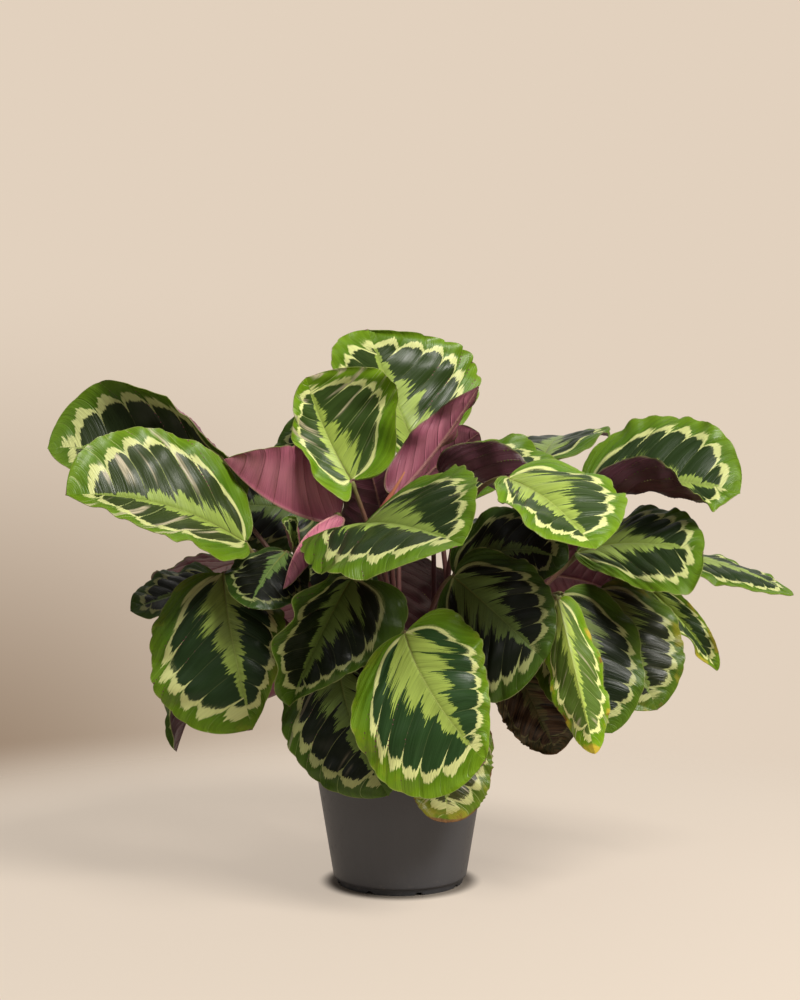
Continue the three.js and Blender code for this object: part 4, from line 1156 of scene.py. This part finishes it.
def soilPiece(name, skin):
    # a lumpy top on a plain body that fills the pot
    hollow, floor, bend = 3, pot["floor"] + 0.9, pot["corner"] + 3
    low = [(0, hollow), (pot["hub"] - 1, hollow), (pot["hub"] + 6, floor),
           (pot["footRing"][1], floor), (potInner(bend), bend)]
    side = [(potInner(z), z) for z in np.linspace(30, soilHeight - 6, 8)]
    crown = [(r, soilHeight) for r in np.linspace(soil["edge"], 1.5, soil["rings"])]
    profile = np.array(low + side + crown + [(0, soilHeight)], float)

    def crumbled(r, z, angle):
        top = soilTop(r, r * np.cos(angle), r * np.sin(angle))
        return np.where(z > soilHeight - 0.5, np.maximum(top, soilHeight - 5.9), z)

    points, quads, triangles = turned(profile, soil["sides"], crumbled)
    points[-1, 2] = soilTop(0, 0, 0)
    return putMesh(name, points, quads, triangles, [skin], sharp=70)


def spun(form, angle, first, second):
    # every form turned by its own angle in the plane of those two axes
    c, s = np.cos(angle)[:, None], np.sin(angle)[:, None]
    made = form.copy()
    made[..., first] = form[..., first] * c - form[..., second] * s
    made[..., second] = form[..., first] * s + form[..., second] * c
    return made


def chipField(name, skins):
    # bark chips and white grains: small dented balls drawn out to boxes, tilted and spun on the soil
    random = np.random.default_rng(soil["seed"])
    n = soil["chips"]
    r, turn = soil["spread"] * np.sqrt(random.uniform(0, 1, n)), random.uniform(0, 2 * np.pi, n)
    x, y = r * np.cos(turn), r * np.sin(turn)
    size = random.uniform(*soil["chipSize"], n)[:, None] * np.array(soil["chipShape"])
    size = size * random.uniform(0.7, 1.3, (n, 3))
    rings, sides = 3, 6
    s, t = np.meshgrid(np.linspace(0, np.pi, rings + 2)[1:-1], fullTurn(sides), indexing="ij")
    ball = np.stack([np.sin(s) * np.cos(t), np.sin(s) * np.sin(t), -np.cos(s)], -1).reshape(-1, 3)
    ball = np.concatenate([ball, [[0, 0, -1], [0, 0, 1]]])
    form = np.sign(ball) * np.abs(ball) ** 0.7 * (1 + random.uniform(-0.2, 0.2, (n, len(ball), 1)))
    form = form * size[:, None] / 2
    tilt, spin = random.normal(0, 0.3, n), random.uniform(0, 2 * np.pi, n)
    form = spun(spun(form, tilt, 0, 2), spin, 0, 1)
    seat = np.stack([x, y, soilTop(r, x, y) + size[:, 2] * 0.25], -1)
    points = (form + seat[:, None]).reshape(-1, 3)
    first = np.arange(n)[:, None, None] * len(ball)
    quads = gridQuads(rings, sides, loop=True)
    triangles = endFans(rings, sides)
    white = random.uniform(0, 1, n) < soil["whiteShare"]
    parts = np.concatenate([np.repeat(white, len(quads)), np.repeat(white, len(triangles))])
    quads = (quads[None] + first).reshape(-1, 4)
    triangles = (triangles[None] + first).reshape(-1, 3)
    piece = putMesh(name, points, quads, triangles, skins, parts, sharp=35)
    putField(piece, "chip", np.repeat(random.uniform(0, 1, n), len(ball)))
    return piece


def soilSkin():
    # dark moist potting soil with paler fibres
    paint = Paint("soilSkin", IOR=1.4)
    place = paint.place()
    crumb = paint.noise(place, 260, 5, 0.65)
    fibre = paint.noise(place, 700, 2).over(0.17, 0.05)
    colour = paint.mix(crumb * 1.6 + 0.5, *soil["moist"])
    paint.set("Base Color", paint.mix(fibre * 0.6, colour, soil["fibre"]))
    paint.set("Roughness", 0.85 + crumb * 0.3)
    paint.bump(crumb, 0.003, 1.0)
    return paint.material


def chipSkin(name, dark, light):
    # one chip's own shade with grain along it
    paint = Paint(name, IOR=1.4)
    shade = paint.field("chip")
    grain = paint.noise(paint.place(), 420, 4)
    paint.set("Base Color", paint.dim(paint.mix(shade, dark, light), grain * 1.2 + 1.0))
    paint.set("Roughness", 0.8 + grain * 0.2)
    paint.bump(grain, 0.0012, 0.8)
    return paint.material


soilBody = soilPiece("pottingSoil", soilSkin())
chipSkins = [chipSkin("barkChip", *soil["bark"]), chipSkin("whiteGrain", *soil["grain"])]
soilChips = chipField("barkChips", chipSkins)
for piece in (soilBody, soilChips):
    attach(piece, "root")
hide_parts("soil")
print("stage: soil done")

# litFrom: radius past which the floor glows with painted light; inside it, under the pot and in a ring
# round its foot, the missing glow is a painted contact shadow. glow, shine: that painted glow's strength
# and colour. fadeFrom, fadeTo: where it melts into the backdrop.
floor = dict(
    radius=1500, evenTo=1000, rings=30, sides=96, litFrom=79, litSoft=9, fadeFrom=560, fadeTo=1150,
    paintedGlow=0.6, base=rgb(142, 133, 122), paintedGlowColour=rgb(234, 218, 200))

# low, left: where the backdrop starts to darken into a painted shadow and is darkest, by how far a way
# points up or right; dark is that painted shadow's colour
backdrop = dict(
    low=(0.15, -0.22), left=(0.12, -0.3), pale=rgb(226, 209, 190), dark=rgb(146, 124, 103),
    ambient=rgb(240, 232, 222), ambientStrength=0.18)

# sizes and places of the lamps and the camera are in metres
lamps = {
    "keyLight": dict(
        place=(1.35, -1.45, 2.35), aim=(0, 0, 0.3), size=1.1, power=108, colour=(1.0, 0.965, 0.92)),
    "fillLight": dict(
        place=(-1.1, -1.9, 2.3), aim=(0, 0, 0.3), size=2.2, power=8, colour=(1.0, 0.98, 0.95)),
    "backLight": dict(
        place=(0.3, 1.8, 1.8), aim=(0, 0, 0.35), size=2.4, power=10, colour=(1.0, 0.97, 0.93)),
}

camera = dict(place=(0, -1.589, 0.401), lens=54.18, sensor=36)


def floorSkin():
    # plain matt floor with painted light: a glow that lifts the shadows on it, missing below the pot and in
    # a ring round its foot as a painted contact shadow, and clear far out
    paint = Paint("floorSkin", IOR=1.3, Roughness=0.75, Emission_Strength=floor["paintedGlow"])
    x, y, _ = paint.parts(paint.place())
    away = (x * x + y * y).math("SQRT")
    paint.set("Base Color", floor["base"])
    # painted light: the floor glows past the pot's foot; inside, no glow, a painted contact shadow
    paintedGlowShare = away.over(floor["litFrom"] / 1000, floor["litSoft"] / 1000)
    paint.set("Emission Color", paint.mix(paintedGlowShare, rgb(0, 0, 0), floor["paintedGlowColour"]))
    low, high = floor["fadeFrom"] / 1000, floor["fadeTo"] / 1000
    clear = paint.node("BsdfTransparent", {}, {})
    shader = Wire(paint, paint.shader.outputs[0])
    share = away.over((low + high) / 2, (high - low) / 2)
    blend = paint.node("MixShader", {}, {0: share, 1: shader, 2: clear})
    paint.feed(paint.tree.nodes["Material Output"].inputs["Surface"], blend)
    return paint.material


def floorPiece(name, skin):
    # flat rings round the pot, even ones and a last wide one
    sides = floor["sides"]
    radius = np.append(np.linspace(5, floor["evenTo"], floor["rings"]), floor["radius"])[:, None]
    angle = fullTurn(sides)
    rings = np.stack([radius * np.cos(angle), radius * np.sin(angle), 0 * radius * angle], -1)
    points = np.concatenate([rings.reshape(-1, 3), [[0, 0, 0]]])
    quads = gridQuads(len(radius), sides, loop=True)[:, ::-1]
    return putMesh(name, points, quads, fan(len(points) - 1, np.arange(sides)), [skin])


def areaLight(name, place, aim, size, power, colour):
    # a square lamp at place that looks at aim
    lamp = bpy.data.lights.new(name, "AREA")
    lamp.size = size
    lamp.energy = power
    lamp.color = colour
    thing = bpy.data.objects.new(name, lamp)
    thing.location = place
    thing.rotation_euler = (Vector(aim) - Vector(place)).to_track_quat("-Z", "Y").to_euler()
    bpy.context.scene.collection.objects.link(thing)


def paintBackdrop():
    # a pale warm backdrop with a painted shadow of the plant toward the lower left, that lights the scene a
    # little more softly
    world = bpy.data.worlds.new("backdrop")
    world.use_nodes = True
    nodes = Nodes(world.node_tree)
    x, _, z = nodes.parts(nodes.node("TexCoord", {}, {}, "Generated"))
    low, left = (1 - along.over((start + darkest) / 2, (start - darkest) / 2)
                 for along, (start, darkest) in ((z, backdrop["low"]), (x, backdrop["left"])))
    seen = nodes.tree.nodes["Background"]
    # painted shadow: the backdrop seen by the camera darkens toward the lower left
    nodes.feed(seen.inputs["Color"], nodes.mix(low * left, backdrop["pale"], backdrop["dark"]))
    ambient = nodes.node("Background", {}, {
        "Color": backdrop["ambient"], "Strength": backdrop["ambientStrength"]})
    toCamera = nodes.node("LightPath", {}, {}, "Is Camera Ray")
    blend = nodes.node("MixShader", {}, {0: toCamera, 1: ambient, 2: Wire(nodes, seen.outputs[0])})
    nodes.feed(nodes.tree.nodes["World Output"].inputs["Surface"], blend)
    bpy.context.scene.world = world


def photoView():
    # a level camera in front of the pot, as the photograph was taken
    lens = bpy.data.cameras.new("photoView")
    lens.lens = camera["lens"]
    lens.sensor_width = camera["sensor"]
    view = bpy.data.objects.new("photoView", lens)
    view.location = camera["place"]
    view.rotation_euler = (np.pi / 2, 0, 0)
    bpy.context.scene.collection.objects.link(view)
    bpy.context.scene.camera = view


paleFloor = floorPiece("paleFloor", floorSkin())
paintBackdrop()
for name, lamp in lamps.items():
    areaLight(name, **lamp)
photoView()
bpy.context.scene.view_settings.view_transform = "Standard"
print("stage: room done")
